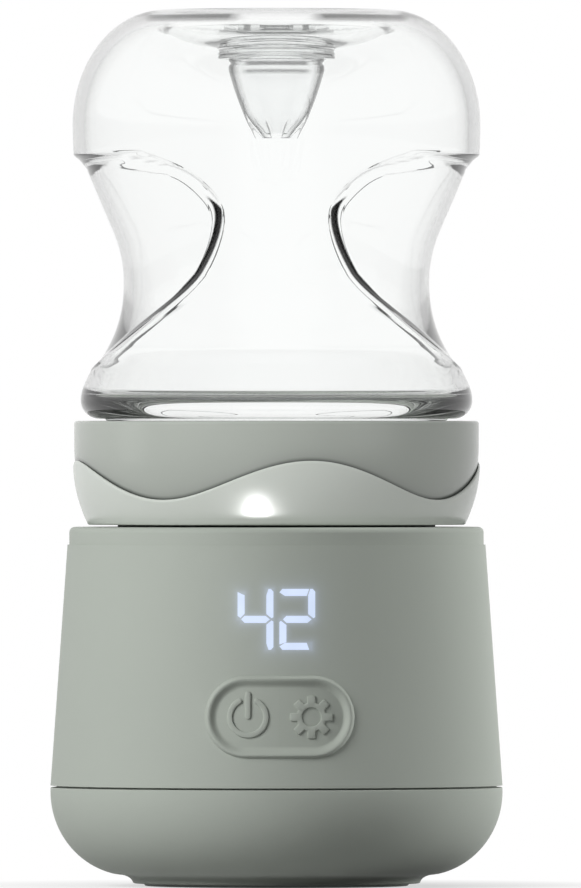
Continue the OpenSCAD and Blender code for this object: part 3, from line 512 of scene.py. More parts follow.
def clear(name, rgb, ior, roughness, rim, rim_start, depth, attribute=None):
    """A clear finish with painted shade in its tint: darker where it turns away from the eye,
    and where a mesh attribute says so.

    The painted shade stands in for the dark edges that bent light gives. The rim starts at a share of
    turning away and reaches its level a little further on. The darkness shows for as many bends of the
    light as depth says. The attribute gives the share of painted shade, below zero where it shows only as
    the surface turns away.
    """
    rim_width, grazing_start, grazing_end = 0.25, 0.3, 0.5
    # Colour that the tint turns to where the shade is painted
    painted_shade_black = (0.0002, 0.0002, 0.0002)
    tree, shader = finish(name, rgb, roughness, IOR=ior, Transmission_Weight=1.0)
    bends = Field(tree, tree.nodes.new("ShaderNodeLightPath").outputs["Ray Depth"])
    away = Field(tree, tree.nodes.new("ShaderNodeLayerWeight").outputs["Facing"])
    dark = away.share(rim_start, rim_start + rim_width) * rim
    if attribute:
        node = tree.nodes.new("ShaderNodeAttribute")
        node.attribute_name = attribute
        painted = Field(tree, node.outputs["Fac"])
        grazing = painted * away.share(grazing_start, grazing_end) * -1
        dark = dark.do("MAXIMUM", painted).do("MAXIMUM", grazing)
    tint = mixed(tree, dark * bends.do("LESS_THAN", depth + 0.5), rgb, painted_shade_black)
    for socket in ("Base Color", "Specular Tint"):
        tree.links.new(tint, shader.inputs[socket])


def make_finishes(colours):
    """All finishes; those with a slot's name in SLOT_FINISH go on the CAD nodes that are kept."""
    for name in ("Sage moulding", "Sage moulding with halo"):
        grained(name, colours.sage, 0.52, Specular_IOR_Level=0.08)
    for name, rgb, roughness in (("Band gloss", colours.band, 0.2), ("Skirt gloss", colours.skirt, 0.26)):
        grained(name, rgb, roughness, grain=1600.0, shade=0.012, depth_mm=0.001, rough_share=0.03)
    grained("Key silicone", colours.key, 0.6, grain=5200.0, depth_mm=0.008, Specular_IOR_Level=0.35)
    grained("Grey silicone", (0.28, 0.3, 0.28), 0.62, grain=2600.0, shade=0.06)
    # The clear finishes carry painted shade in their tint, at their rims and where the mesh attribute says
    clear("Clear glass", colours.glass, 1.5, 0.0, rim=0.5, rim_start=0.52, depth=0, attribute=EDGE_SHADE)
    clear("Clear silicone", colours.silicone, 1.46, 0.02, rim=0.95, rim_start=0.36, depth=2,
          attribute=EDGE_SHADE)
    clear("Clear plastic", (0.98, 0.985, 0.985), 1.46, 0.02, rim=0.7, rim_start=0.6, depth=2)
    grained("White plastic", (0.9, 0.9, 0.9), 0.5)
    grained("Dark plastic", (0.1, 0.1, 0.11), 0.55, grain=2600.0, shade=0.1)
    striped("Circuit board", (0.05, 0.2, 0.1), 0.35, (900.0, 300.0, 900.0), 0.02)
    striped("Cell sleeve", (0.1, 0.25, 0.4), 0.3, (40.0, 700.0, 700.0), 0.01)
    grained("Lead insulation", (0.5, 0.1, 0.07), 0.45)
    striped("Heater film", (0.25, 0.13, 0.06), 0.4, (300.0, 300.0, 900.0), 0.01)
    striped("Fibre felt", (0.7, 0.66, 0.55), 0.9, (1500.0, 500.0, 1500.0), 0.08)
    turned_metal("Turned steel", (0.6, 0.61, 0.62), 0.28)


SLOT_FINISH = {
    "sage_plastic": "Sage moulding", "adapter_gloss": "Band gloss", "key_silicone": "Key silicone",
    "grey_silicone": "Grey silicone", "clear_glass": "Clear glass", "clear_silicone": "Clear silicone",
    "clear_plastic": "Clear plastic", "lit_window": "Lit strokes", "white_plastic": "White plastic",
    "dark_plastic": "Dark plastic", "circuit_board": "Circuit board", "cell_sleeve": "Cell sleeve",
    "lead_insulation": "Lead insulation", "heater_film": "Heater film", "insulation": "Fibre felt",
    "steel": "Turned steel",
}


# Display

def lit_rectangles():
    """Middle and half size, in millimetres, of the lit strokes of the two digits, seen from the front."""
    pitch, rise, wide, high, half = 7.7, 49.8, 2.65, 4.96, 0.65
    four, two = -pitch / 2, pitch / 2
    upper, lower = rise + high / 2, rise - high / 2
    bar, post = (wide, half), (half, high / 2)
    return [(four + wide, rise, half, high + half), (four - wide, upper, *post), (four, rise, *bar),
            (two, rise + high, *bar), (two + wide, upper, *post), (two, rise, *bar),
            (two - wide, lower, *post), (two, rise - high, *bar)]


def light_strokes(colours):
    """The finish of the lit strokes, a little brighter in the middle of each light."""
    light_scale, dimmest, swing = 260.0, 0.86, 0.16
    unlit, shade = (0.2, 0.2, 0.2), 0.1
    tree, shader = finish("Lit strokes", colours.light, 0.3)
    shader.inputs["Emission Color"].default_value = (*colours.light, 1)
    field = noise(tree, coordinates(tree), light_scale, detail=1.0)
    (field * swing + dimmest).to(shader.inputs["Emission Strength"])
    vary(tree, shader, field, unlit, shade)


def light_halo(colours):
    """A soft painted glow in the skin of the housing, falling off with the distance from the nearest stroke.
    """
    near_reach, near_level, far_reach, far_level, blend = 0.55, 0.15, 2.2, 0.035, 0.8
    tree, shader = shader_of("Sage moulding with halo")
    x, y, z = split(tree, coordinates(tree))
    x, z = x / MM, z / MM
    nearest = None
    for middle_x, middle_z, half_x, half_z in lit_rectangles():
        off_x = ((x - middle_x).do("ABSOLUTE") - half_x).do("MAXIMUM", 0.0)
        off_z = ((z - middle_z).do("ABSOLUTE") - half_z).do("MAXIMUM", 0.0)
        gap = (off_x * off_x + off_z * off_z).do("SQRT")
        nearest = gap if nearest is None else nearest.do("SMOOTH_MIN", gap, blend)
    near = (nearest / -near_reach).do("EXPONENT") * near_level
    far = (nearest / -far_reach).do("EXPONENT") * far_level
    # Painted glow, on the front of the housing only
    ((near + far) * y.do("LESS_THAN", 0.0)).to(shader.inputs["Emission Strength"])
    shader.inputs["Emission Color"].default_value = (*colours.halo, 1)


# Bowl and foot

def bowl_line(s):
    """Section of the bowl from the middle of its underside over the outside and back along the inside."""
    pad_gap, tongue_wall, edge, foot_edge = 0.1, 1.1, 0.2, 0.25
    flare_turn, flare_end, overlap = 79.6, 86, 2
    base_r = corner("lower_housing", 1, "x")
    seat_r, seat_top = corner("foot_pad", 1, "x") + pad_gap, corner("foot_pad", 1, "z")
    groove_r, groove_top = base_r - tongue_wall, corner("upper_housing", 0, "z")
    tongue_r, tongue_top = 39.266, corner("lower_housing", 1, "z")
    tongue_in = tongue_r - tongue_wall
    half, middle = base_r - s.bowl_level, (s.bowl_level, s.bowl_rise)
    flare_top = s.bowl_rise - s.bowl_depth * math.sin(math.radians(flare_turn))
    flare = arc((s.foot_radius + s.foot_flare, s.foot_under), (-s.foot_flare, flare_top - s.foot_under),
                0, flare_end, 16)
    return np.concatenate([
        [(0, seat_top), (seat_r, seat_top), (seat_r, s.foot_under),
         (s.foot_radius - foot_edge, s.foot_under)],
        flare[1:], arc(middle, (half, -s.bowl_depth), flare_turn - overlap, 0, 64),
        arc((base_r - edge, s.bowl_top - edge), (edge, edge), 0, 90, 5),
        [(groove_r, s.bowl_top), (groove_r, groove_top), (tongue_r, groove_top), (tongue_r, tongue_top),
         (tongue_in, tongue_top), (tongue_in, s.bowl_rise)],
        arc(middle, (half - s.wall, s.wall - s.bowl_depth), 0, 90, 48),
        [(0, s.bowl_rise - s.bowl_depth + s.wall)]])


def pad_line(s):
    """Section of the foot pad, with rings on its underside."""
    edge, chamfer, rib_steps, steepness = 0.4, 0.1, 20, 1.6
    pad_r, top = corner("foot_pad", 1, "x"), corner("foot_pad", 1, "z")
    flat_r = pad_r - edge
    ribs = np.linspace(flat_r, 0, rib_steps * s.pad_ribs + 1)
    groove = s.rib_depth * np.clip(np.cos(2 * np.pi * s.pad_ribs * ribs / flat_r) * -steepness, 0, 1)
    return np.concatenate([[(0, top), (pad_r - chamfer, top), (pad_r, top - chamfer)],
                           arc((flat_r, edge), (edge, edge), 0, -90, 7), np.stack([ribs, groove], -1)])


# Adapter

def band_radius(z, s, full):
    """Outside of the band at a height, drawn in below its full width."""
    return full - s.band_fall * np.maximum(0, s.band_full - z) ** 2


def adapter_shape(s):
    """The ring that holds the bottle, with its web, its seal seat and three locking ledges."""
    edge, chamfer, bite, ledges = s.band_round, 0.35, 0.1, 3
    low, top = corner("adapter_body", 0, "z"), corner("adapter_body", 1, "z")
    full = corner("adapter_body", 1, "x")
    heights = np.linspace(low, s.band_full, 40)
    outside = np.stack([band_radius(heights, s, full), heights], -1)
    line = np.concatenate([
        [(s.socket, low + chamfer), (s.socket + chamfer, low), (outside[0, 0] - chamfer, low)], outside[1:],
        arc((full - edge, top - edge), (edge, edge), 0, 90, 8),
        arc((s.bore + edge, top - edge), (-edge, edge), 90, 0, 8),
        [(s.bore, s.web_over), (s.web_open + chamfer, s.web_over), (s.web_open, s.web_over - chamfer),
         (s.web_open, s.web_under), (s.seal_inner, s.web_under), (s.seal_inner, s.seal_top),
         (s.seal_outer, s.seal_top), (s.seal_outer, s.web_under), (s.socket, s.web_under)]])
    sectors = [ring_sector(s.ledge_inner, s.socket + bite, s.ledge_under, s.ledge_over,
                           math.radians(360 / ledges * i), s.ledge_span) for i in range(ledges)]
    return joined(revolve(line), *sectors)


def shade_band(s):
    """Paints shade on the band just above the waved edge of the skirt, where the skirt's lip shades it."""
    line_end, line_full, line_level = 0.75, 0.1, 0.42
    near_reach, near_level, far_reach, far_level = 0.8, 0.3, 5.0, 0.14
    # Colour of the painted shadow
    shadow = (0.03, 0.034, 0.031)
    tree, shader = shader_of("Band gloss")
    x, y, z = split(tree, coordinates(tree))
    crest = ((y.do("ARCTAN2", x) + (math.pi / 2 - s.wave_turn)) * s.waves).do("COSINE")
    over = (z / MM - (crest * s.wave_rise + s.wave_middle)).do("MAXIMUM", 0.0)
    # A painted shade line at the wave, and softer painted shade further up
    line = over.share(line_end, line_full) * line_level
    near = (over / -near_reach).do("EXPONENT") * near_level
    far = (over / -far_reach).do("EXPONENT") * far_level
    plain = shader.inputs["Base Color"].links[0].from_socket
    tree.links.new(mixed(tree, line + near + far, plain, shadow), shader.inputs["Base Color"])


def new_tree(name, result, inputs):
    """A tree of Geometry Nodes, with sockets for its inputs, each a name and a kind, and for its result."""
    tree = bpy.data.node_groups.new(name, "GeometryNodeTree")
    tree.interface.new_socket(name=result, in_out="OUTPUT", socket_type="NodeSocketGeometry")
    for label, kind in inputs:
        tree.interface.new_socket(name=label, in_out="INPUT", socket_type="NodeSocket" + kind)
    return tree, tree.nodes.new("NodeGroupInput").outputs, tree.nodes.new("NodeGroupOutput").inputs[result]


def skirt_tree():
    """Geometry Nodes for the waved skirt: a grid laid round the band, its upper edge following the wave."""
    columns, rows, merge = 361, 61, 1e-6
    under_end, rise_end, lip_end = 0.06, 0.56, 0.8
    names = ["Foot", "Full Radius", "Fall", "Full Height", "Band Radius", "Band Fall", "Band Full Height",
             "Lip", "Waves", "Wave Middle", "Wave Rise", "Wave Turn"]
    kinds = [(name, "Float") for name in names] + [("Finish", "Material")]
    tree, given, result = new_tree("Waved skirt", "Skirt", kinds)
    value = {name: Field(tree, given[name]) for name in names}
    sheet = tree.nodes.new("GeometryNodeMeshGrid")
    for socket, size in (("Size X", 1.0), ("Size Y", 1.0), ("Vertices X", columns), ("Vertices Y", rows)):
        sheet.inputs[socket].default_value = size
    across, along, _ = split(tree, tree.nodes.new("GeometryNodeInputPosition").outputs[0])
    turn, v = (across + 0.5) * (2 * math.pi), along + 0.5
    under, rise = v.share(0, under_end), v.share(under_end, rise_end)
    lip, back = v.share(rise_end, lip_end), v.share(lip_end, 1)
    crest = (value["Waves"] * (turn + (value["Wave Turn"] * -1 + math.pi / 2))).do("COSINE")
    edge = value["Wave Middle"] + value["Wave Rise"] * crest
    straight = edge - value["Lip"] - value["Foot"]
    height = value["Foot"] + straight * (rise - back) + value["Lip"] * (lip * math.pi).do("SINE")

    def drawn_in(radius, rate, full):
        short = (full - height).do("MAXIMUM", 0.0)
        return radius - rate * short * short
    outer = drawn_in(value["Full Radius"], value["Fall"], value["Full Height"])
    inner = drawn_in(value["Band Radius"], value["Band Fall"], value["Band Full Height"])
    over = ((lip * math.pi).do("COSINE") * -1 + 1) * 0.5
    radius = inner + (outer - inner) * (under - over)
    place = tree.nodes.new("ShaderNodeCombineXYZ")
    (radius * turn.do("COSINE") * MM).to(place.inputs["X"])
    (radius * turn.do("SINE") * MM).to(place.inputs["Y"])
    (height * MM).to(place.inputs["Z"])
    lay, merged, whole, paint = (tree.nodes.new("GeometryNode" + kind) for kind in (
        "SetPosition", "MergeByDistance", "RealizeInstances", "SetMaterial"))
    merged.inputs["Distance"].default_value = merge
    for start, end in ((sheet.outputs["Mesh"], lay.inputs["Geometry"]),
                       (place.outputs[0], lay.inputs["Position"]),
                       (lay.outputs["Geometry"], merged.inputs["Geometry"]),
                       (merged.outputs["Geometry"], whole.inputs["Geometry"]),
                       (whole.outputs["Geometry"], paint.inputs["Geometry"]),
                       (given["Finish"], paint.inputs["Material"]), (paint.outputs["Geometry"], result)):
        tree.links.new(start, end)
    return tree


def grown(name, tree, sharp, **values):
    """A piece made by a tree of Geometry Nodes and turned into a plain mesh."""
    piece = in_scene(name, bpy.data.meshes.new(name))
    modifier = piece.modifiers.new(tree.name, "NODES")
    modifier.node_group = tree
    for item in tree.interface.items_tree:
        if item.in_out == "INPUT":
            modifier[item.identifier] = values[item.name.replace(" ", "_").lower()]
    depsgraph = bpy.context.evaluated_depsgraph_get()
    mesh = bpy.data.meshes.new_from_object(piece.evaluated_get(depsgraph), preserve_all_data_layers=True,
                                           depsgraph=depsgraph)
    piece.modifiers.clear()
    piece.data = mesh
    mesh.name = name
    face_outwards(mesh)
    mesh.set_sharp_from_angle(angle=math.radians(sharp))
    return piece


# Bottle

def left_of(run):
    """Unit vectors to the left of the steps along a line."""
    return np.stack([-run[:, 1], run[:, 0]], -1) / np.linalg.norm(run, axis=1)[:, None]


def beside(line, distance):
    """A line moved to its left."""
    return line + distance * left_of(np.gradient(line, axis=0))


def scoop_face(z, s, grip_z, grow):
    """The grip's outline in the front plane: its distance from the axis at a height."""
    centre, radius = s.grip_radius + s.scoop_round, s.scoop_round + grow
    bend_z = grip_z + radius * math.sin(s.scoop_slope)
    bend_x = centre - radius * math.cos(s.scoop_slope)
    top = grip_z + s.slope_height
    top_x = bend_x + (top - bend_z) * math.tan(s.scoop_slope)
    hollow = centre - np.sqrt(np.maximum(radius ** 2 - (z - grip_z) ** 2, 0))
    slope = bend_x + (z - bend_z) * math.tan(s.scoop_slope)
    ledge = top_x + (z - top) * math.tan(s.scoop_ledge)
    return np.where(z < bend_z, hollow, np.where(z < top, slope, ledge))


def scoop_radius(turn, z, s, grip_z, grow):
    """Distance of the grip's face from the bottle's axis, found by halving."""
    nearest, furthest, halvings = 4.0, 62.0, 44
    sin_l, cos_l = math.sin(s.scoop_lean), math.cos(s.scoop_lean)
    shape = np.broadcast(turn, z).shape
    low, high = np.full(shape, nearest), np.full(shape, furthest)
    for _ in range(halvings):
        r = (low + high) / 2
        x, y, up = r * np.cos(turn) + s.scoop_offset, r * np.sin(turn), z - grip_z
        along = x * sin_l + up * cos_l
        out = np.sqrt((x - along * sin_l) ** 2 + y ** 2 + (up - along * cos_l) ** 2)
        front_x = out * cos_l + along * sin_l - s.scoop_offset
        front_z = grip_z - out * sin_l + along * cos_l
        cut = front_x > scoop_face(front_z, s, grip_z, grow)
        low, high = np.where(cut, low, r), np.where(cut, r, high)
    return (low + high) / 2


def soft_least(a, b, width):
    """The lesser of two distances, with a round where they meet."""
    h = np.clip(0.5 + 0.5 * (b - a) / width, 0, 1)
    return b + (a - b) * h - width * h * (1 - h)


def edge_distance(r, turn, z, line, s, grip_z):
    """How deep a scoop lies under a ring, and how far inside the scoop's edge the point is."""
    small, least_slope = 0.02, 0.15
    fill_turn, fill_spread, fill_rise, fill_height = math.radians(48), 0.29, 23.2, 2.2
    heights, radii = line[np.argsort(line[:, 1])].T[::-1]

    def ring(height):
        return np.interp(height, heights, radii)

    def face(at, height):
        return scoop_radius(at, height, s, grip_z, 0.0)
    here = face(turn, z)
    depth = r - here
    slope_turn = (depth - (r - face(turn + small / r, z))) / small
    slope_z = (ring(z + small) - ring(z) - face(turn, z + small) + here) / small
    filled = np.exp(-((turn - fill_turn) / fill_spread) ** 2 - ((z - grip_z - fill_rise) / fill_height) ** 2)
    depth = depth - s.ledge_fill * filled
    return depth, depth / np.maximum(np.hypot(slope_turn, slope_z), least_slope)


def window(value, low, high, soft):
    """1 between two values, falling softly to 0 outside them."""
    return ease((value - low) / soft + 0.5) * ease((high - value) / soft + 0.5)


def edge_shade(inside, up):
    """Share of painted shade in the glass along a scoop's edge, where the edge bends the light away."""
    tip_start, tip_run, tip_inset, outer = 13.2, 2.4, 1.3, -0.1
    tail_start, tail_run, tail_width, widening = -6, 7, 0.6, 1.1
    start = tip_inset * ease((up - tip_start) / tip_run) + outer
    end = tail_width + widening * ease((up - tail_start) / tail_run)
    # Each painted mark: from, to and softness inside the edge; the same up from the grip; its darkness
    marks = [((start, end, 0.3), (-5.5, 15.6, 1.0), 1.0),
             ((0.0, 1.1, 0.3), (-13.5, -2.5, 2.0), 1.0),
             ((-1.5, -1.1, 0.3), (-9.0, -4.5, 1.5), 0.75),
             ((0.0, 0.4, 0.25), (15.0, 30.0, 2.0), 0.45)]
    total = sum(window(inside, *across) * window(up, *along) * dark for across, along, dark in marks)
    return np.clip(total, 0, 1)


def bottle_columns(line, s, grip_z, grow):
    """Angles of the columns in one quarter, row by row; they crowd along the edge of the scoop."""
    halvings, smoothing, below_run, above_run = 40, 0.8, 8, 20
    crowd, calm, hardly = math.radians(4.2), math.radians(45), 0.01
    side_columns, edge_columns, front_columns = 15, 29, 14
    r, z = line[:, 0], line[:, 1]
    low, high = np.zeros(len(z)), np.full(len(z), np.pi / 2)
    for _ in range(halvings):
        middle = (low + high) / 2
        cut = scoop_radius(middle, z, s, grip_z, grow) < r
        low, high = np.where(cut, middle, low), np.where(cut, high, middle)
    edge = np.where((z > SCOOPS_FROM) & (z < SCOOPS_TO), (low + high) / 2, 0)
    tip, least = np.argmax(edge), crowd * 1.5
    foot = z[edge > hardly].min()
    edge = np.where(z < foot, least + (calm - least) * ease((foot - z) / below_run), np.maximum(edge, least))
    edge = np.where(z > z[tip], edge[tip] + (calm - edge[tip]) * ease((z - z[tip]) / above_run), edge)
    near = np.exp(-((z[:, None] - z[None, :]) / smoothing) ** 2)
    edge = (near @ edge / near.sum(1))[:, None]
    return np.concatenate([
        (edge - crowd) * np.linspace(0, 1, side_columns)[None, :-1],
        edge + crowd * np.linspace(-1, 1, edge_columns)[None, :-1],
        (edge + crowd) + (np.pi / 2 - edge - crowd) * np.linspace(0, 1, front_columns)[None, :]], 1)


def crest_shade(r, turn, z, s):
    """Share of painted shade on the line under the crest of the dome, to the left and right of the middle."""
    half, soft, least_r, dark = 0.7, 0.6, 21, 0.95
    side_from, side_to, side_soft = 7, 25, 4
    line = window(z, s.crest_line - half, s.crest_line + half, soft)
    sides = window(np.abs(r * np.cos(turn)), side_from, side_to, side_soft)
    return dark * line * sides * (r > least_r)


def glass_rows(line, s, grip_z, grow):
    """Points of the glass along a section: its rings drawn in where the two grips are scooped out."""
    turn = bottle_columns(line, s, grip_z, grow)
    r, z = (np.repeat(line[:, i:i + 1], turn.shape[1], 1) for i in (0, 1))
    scooped = (z > SCOOPS_FROM) & (z < SCOOPS_TO)
    if grow:
        cut = soft_least(r, scoop_radius(turn, z, s, grip_z, grow), s.edge_round)
        shade = np.zeros(r.shape)
    else:
        depth, inside = edge_distance(r, turn, z, line, s, grip_z)
        step = s.step_depth * ease(inside / s.step_width) * np.exp(-np.maximum(inside, 0) / s.step_fade)
        cut = r - np.maximum(depth, 0) - step
        # Painted shade along the scoop edges; the painted crest shade goes below zero
        shade = np.where(scooped, edge_shade(inside, z - grip_z), 0) - crest_shade(r, turn, z, s)
    r = np.where(scooped, cut, r)

    def all_round(quarter, second, third, fourth):
        return np.concatenate([quarter, second[:, -2::-1], third[:, 1:], fourth[:, -2:0:-1]], 1)
    turn = all_round(turn, np.pi - turn, np.pi + turn, 2 * np.pi - turn)
    return turn, *(all_round(field, field, field, field) for field in (r, z, shade))


def threaded(r, turn, z, s, mouth):
    """The radius with the thread of the neck standing out of it."""
    start_gap, end_gap, run_out, sharpness = 1.9, 1.4, 0.7, 1.25
    low, high = mouth + start_gap, s.shoulder_height - end_gap
    lead = (z - low) / s.thread_pitch - turn / (2 * np.pi)
    ridge = np.clip(sharpness * np.cos(2 * np.pi * lead) + 1 - sharpness, 0, 1)
    on_neck = np.clip((z - low) / run_out, 0, 1) * np.clip((high - z) / run_out, 0, 1)
    return r + s.thread_rise * ease(ridge) * on_neck * (np.abs(r - s.neck_radius) < 1e-6)


def bottle_levels(s):
    """Heights and radii that the stretches of the bottle's section share."""
    at = SimpleNamespace(mouth=corner("bottle", 0, "z"), crest=corner("bottle", 1, "z"))
    at.full_z = s.shoulder_height + s.shoulder_round
    at.waist_z = at.full_z + s.waist_rise
    at.panel_z, at.grip_z = at.waist_z + s.panel_rise, at.waist_z + s.grip_rise
    at.dome_z, at.dome_r = at.crest - s.dome_height, corner("bottle", 1, "x")
    at.crest_r, at.floor_z = at.dome_r - s.dome_round, at.crest - s.dish_depth
    at.boss_r, at.boss_z = s.vent_radius + s.boss_wall, at.floor_z - s.boss_height
    at.rim = s.glass_wall / 2
    at.neck_mid = s.neck_radius - at.rim
    return at


def neck_line(s, at):
    """Outside of the bottle from its mouth over the neck to the fullest ring of the shoulder."""
    soft, rows, foot_gap, top_gap = 0.5, 26, 0.3, 0.6
    shoulder = s.shoulder_radius - s.shoulder_round
    heights = np.linspace(at.mouth + at.rim + foot_gap, s.shoulder_height - top_gap, rows)
    return np.concatenate([
        arc((at.neck_mid, at.mouth + at.rim), (at.rim, at.rim), -90, 0, 6),
        np.stack([np.full(rows, s.neck_radius), heights], -1),
        arc((s.neck_radius + soft, s.shoulder_height - soft), (-soft, soft), 10, 90, 6),
        arc((shoulder, at.full_z), (s.shoulder_round, s.shoulder_round), -90, -4, 16)])


def side_line(s, at):
    """Outside of the bottle from the shoulder over the waist, the panels and the dome into the dish."""
    dish_power, lip_share = 2.2, 0.09
    scoop_foot, scoop_tip, ledge_low, ledge_high = 96, 124, 139.4, 139.8
    z = np.concatenate([
        np.linspace(at.full_z, scoop_foot, 14)[:-1], np.linspace(scoop_foot, scoop_tip, 70)[:-1],
        np.linspace(scoop_tip, ledge_low, 52), np.linspace(ledge_high, at.dome_z, 4)])
    rings = [(at.full_z, s.shoulder_radius), (at.waist_z, s.waist_radius), (at.panel_z, s.panel_radius),
             (at.dome_z, at.dome_r)]
    r = np.zeros(len(z))
    for (z0, r0), (z1, r1) in zip(rings, rings[1:]):
        r = np.where((z >= z0) & (z <= z1), r0 + (r1 - r0) * ease((z - z0) / (z1 - z0)), r)
    dome = arc((at.crest_r, at.dome_z), (s.dome_round, s.dome_height), 0, 90, 28)[1:]
    t = np.linspace(0, 1, 20)[1:]
    sink = (1 - (1 - t) ** dish_power) * (1 - np.exp(-(t / lip_share) ** 2))
    dish = np.stack([at.crest_r + (s.dish_floor - at.crest_r) * t, at.crest - s.dish_depth * sink], -1)
    return np.concatenate([np.stack([r, z], -1), dome, dish])


def vent_line(s, at):
    """The hole for the valve and the ringed boss round it, from the floor of the dish to its underside."""
    soft, under = 0.5, at.floor_z - s.glass_wall
    ring_r = (under - 2 * soft - at.boss_z) / (2 * s.boss_rings)
    rings = [arc((at.boss_r - ring_r, at.boss_z + ring_r * (2 * i + 1)), (ring_r, ring_r), -80, 80, 10)
             for i in range(s.boss_rings)]
    return np.concatenate([
        arc((s.vent_radius + soft, at.floor_z - soft), (-soft, soft), 80, 0, 6),
        arc((s.vent_radius + soft, at.boss_z + soft), (-soft, -soft), 0, 90, 6), *rings,
        arc((at.boss_r + soft, under - soft), (-soft, soft), 0, 90, 6)])


def lining_line(s, at, side):
    """Inside of the bottle from the boss down to the glass over the shoulder and out through the neck."""
    floor_round, turn_in, clearance, boss_gap = 1.0, 0.4, 0.1, 0.7
    neck_heights = (84.0, 81.0)
    floor_z, neck_in = s.shoulder_height + s.floor_glass, s.neck_radius - s.glass_wall
    wall = beside(side, s.glass_wall)[::-1]
    wall = wall[(np.arange(len(wall)) % 2 == 0) | (wall[:, 1] < at.grip_z)]
    above_floor = wall[:, 1] > floor_z + floor_round + clearance
    wall = wall[above_floor & (wall[:, 0] > at.boss_r + boss_gap)]
    return np.concatenate([
        wall, arc((wall[-1, 0] - floor_round, floor_z + floor_round), (floor_round, floor_round), 0, -90, 10),
        arc((neck_in + turn_in, floor_z - turn_in), (-turn_in, turn_in), 90, 0, 8),
        [(neck_in, height) for height in neck_heights],
        arc((at.neck_mid, at.mouth + at.rim), (-at.rim, at.rim), 0, -82, 6)])


def bottle_shape(s):
    """The upturned bottle as one closed skin of glass, from its mouth over the outside and back inside."""
    at = bottle_levels(s)
    side = side_line(s, at)
    outside = np.concatenate([neck_line(s, at), side, vent_line(s, at)])
    skins = [glass_rows(outside, s, at.grip_z, 0.0),
             glass_rows(lining_line(s, at, side), s, at.grip_z, s.scoop_wall)]
    turn, r, z, shade = (np.concatenate(fields) for fields in zip(*skins))
    return grid(turned(threaded(r, turn, z, s, at.mouth), turn, z)), shade.ravel()


# Valve

def valve_line(s):
    """Section of the valve from its tip over the outside and back inside, and the two ends of its cone."""
    flange, fit, soft, bulge, tip_edge, stem_gap = 1.0, 0.1, 0.35, 0.45, 0.97, 0.3
    hollow_from, hollow_to = 0.98, 0.08
    bore_top, bore_foot, bore_end, bore_draw = 2, 1.2, 0.5, 0.1
    groove_low, groove_high, groove_soft = 1.2, 1.8, 0.4
    tip, top = corner("vent_valve", 0, "z"), corner("vent_valve", 1, "z")
    flange_r, stem_r = corner("vent_valve", 1, "x"), s.vent_radius - fit
    flange_z, inner_r = top - flange, stem_r - s.valve_wall
    cone_z = flange_z - s.valve_stem

    def cone(share):
        radius = s.valve_tip + (stem_r - s.valve_tip) * share + bulge * np.sin(np.pi * share)
        return np.stack([radius, tip + (cone_z - tip) * share], -1)
    end = np.stack([s.valve_tip * np.linspace(0, tip_edge, TIP_ROWS), np.full(TIP_ROWS, tip)], -1)
    hollow = cone(np.linspace(hollow_from, hollow_to, HOLLOW_ROWS))
    heights = np.linspace(cone_z + stem_gap, flange_z, STEM_ROWS)
    groove = s.valve_groove * window(heights, cone_z + groove_low, cone_z + groove_high, groove_soft)
    line = np.concatenate([
        end, cone(np.linspace(0, 1, CONE_ROWS)), np.stack([stem_r - groove, heights], -1),
        arc((flange_r - soft, flange_z + soft), (soft, soft), -90, 0, 5),
        arc((flange_r - soft, top - soft), (soft, soft), 0, 90, 5),
        arc((inner_r + soft, top - soft), (-soft, soft), 90, 0, 5),
        [(inner_r, flange_z - bore_top), (inner_r, cone_z + bore_foot),
         (inner_r - bore_draw, cone_z + bore_end)], hollow, [(0, hollow[-1, 1])]])
    return line, tip, cone_z


def ring_shade(across, up):
    """Share of painted shade of two rings where the valve's cone meets its stem, by the height over the cone.
    """
    soft, side_from, side_to, side_soft = 0.3, -9, 6, 2
    low_ring, high_ring = (-0.6, 0.2, 0.8), (0.9, 1.7, 0.9)
    rings = sum(dark * window(up, low, high, soft) for low, high, dark in (low_ring, high_ring))
    return rings * window(np.abs(across), side_from, side_to, side_soft)


def valve_shape(s):
    """The vent valve: a flange in the dish, a stem, and a fluted cone that ends in four lips."""
    columns, quarter, least_sine, cross_share = 192, np.pi / 2, 0.02, 0.62
    flute_slope, flute_round, least_outside, least_hollow = 0.85, 0.5, 0.05, 0.3
    line, tip, cone_z = valve_line(s)
    turn = np.linspace(0, 2 * np.pi, columns, endpoint=False)
    off = np.abs((turn + quarter / 2) % quarter - quarter / 2)
    cross = np.maximum((s.lip / 2) / np.maximum(np.sin(off), least_sine), s.valve_tip * cross_share)
    r, z = (np.repeat(line[:, i:i + 1], columns, 1) for i in (0, 1))
    row, last = np.arange(len(line))[:, None], len(line) - 1
    on_cone, outside = row < TIP_ROWS + CONE_ROWS, row < TIP_ROWS + CONE_ROWS + STEM_ROWS
    in_hollow = (row >= last - HOLLOW_ROWS) & (row < last)
    fluted = soft_least(r, cross + flute_slope * np.maximum(z - tip, 0), flute_round)
    fluted = np.where(r < 1e-6, 0, np.maximum(fluted, least_outside))
    r = np.where(on_cone, fluted, np.where(in_hollow, np.maximum(fluted - s.valve_wall, least_hollow), r))
    # Painted shade of the two rings, on the outside rows only
    shade = ring_shade(r * np.cos(turn), z - cone_z) * outside
    return grid(turned(r, turn, z), wrap_rows=False), shade.ravel()


# Keypad

def shell_radius(z, s):
    """Outside of the housing at a height."""
    low, high = corner("upper_housing", 0, "z"), corner("upper_housing", 1, "z")
    return corner("upper_housing", 1, "x") - s.taper * (z - low) / (high - low)


def on_shell(across, up, rise, s):
    """Points at the front of the housing: across and up from the keypad's middle, rise over its skin."""
    x, z = s.keypad_x + across, s.keypad_z + up
    return np.stack([x, -np.sqrt((shell_radius(z, s) + rise) ** 2 - x ** 2), z], -1)


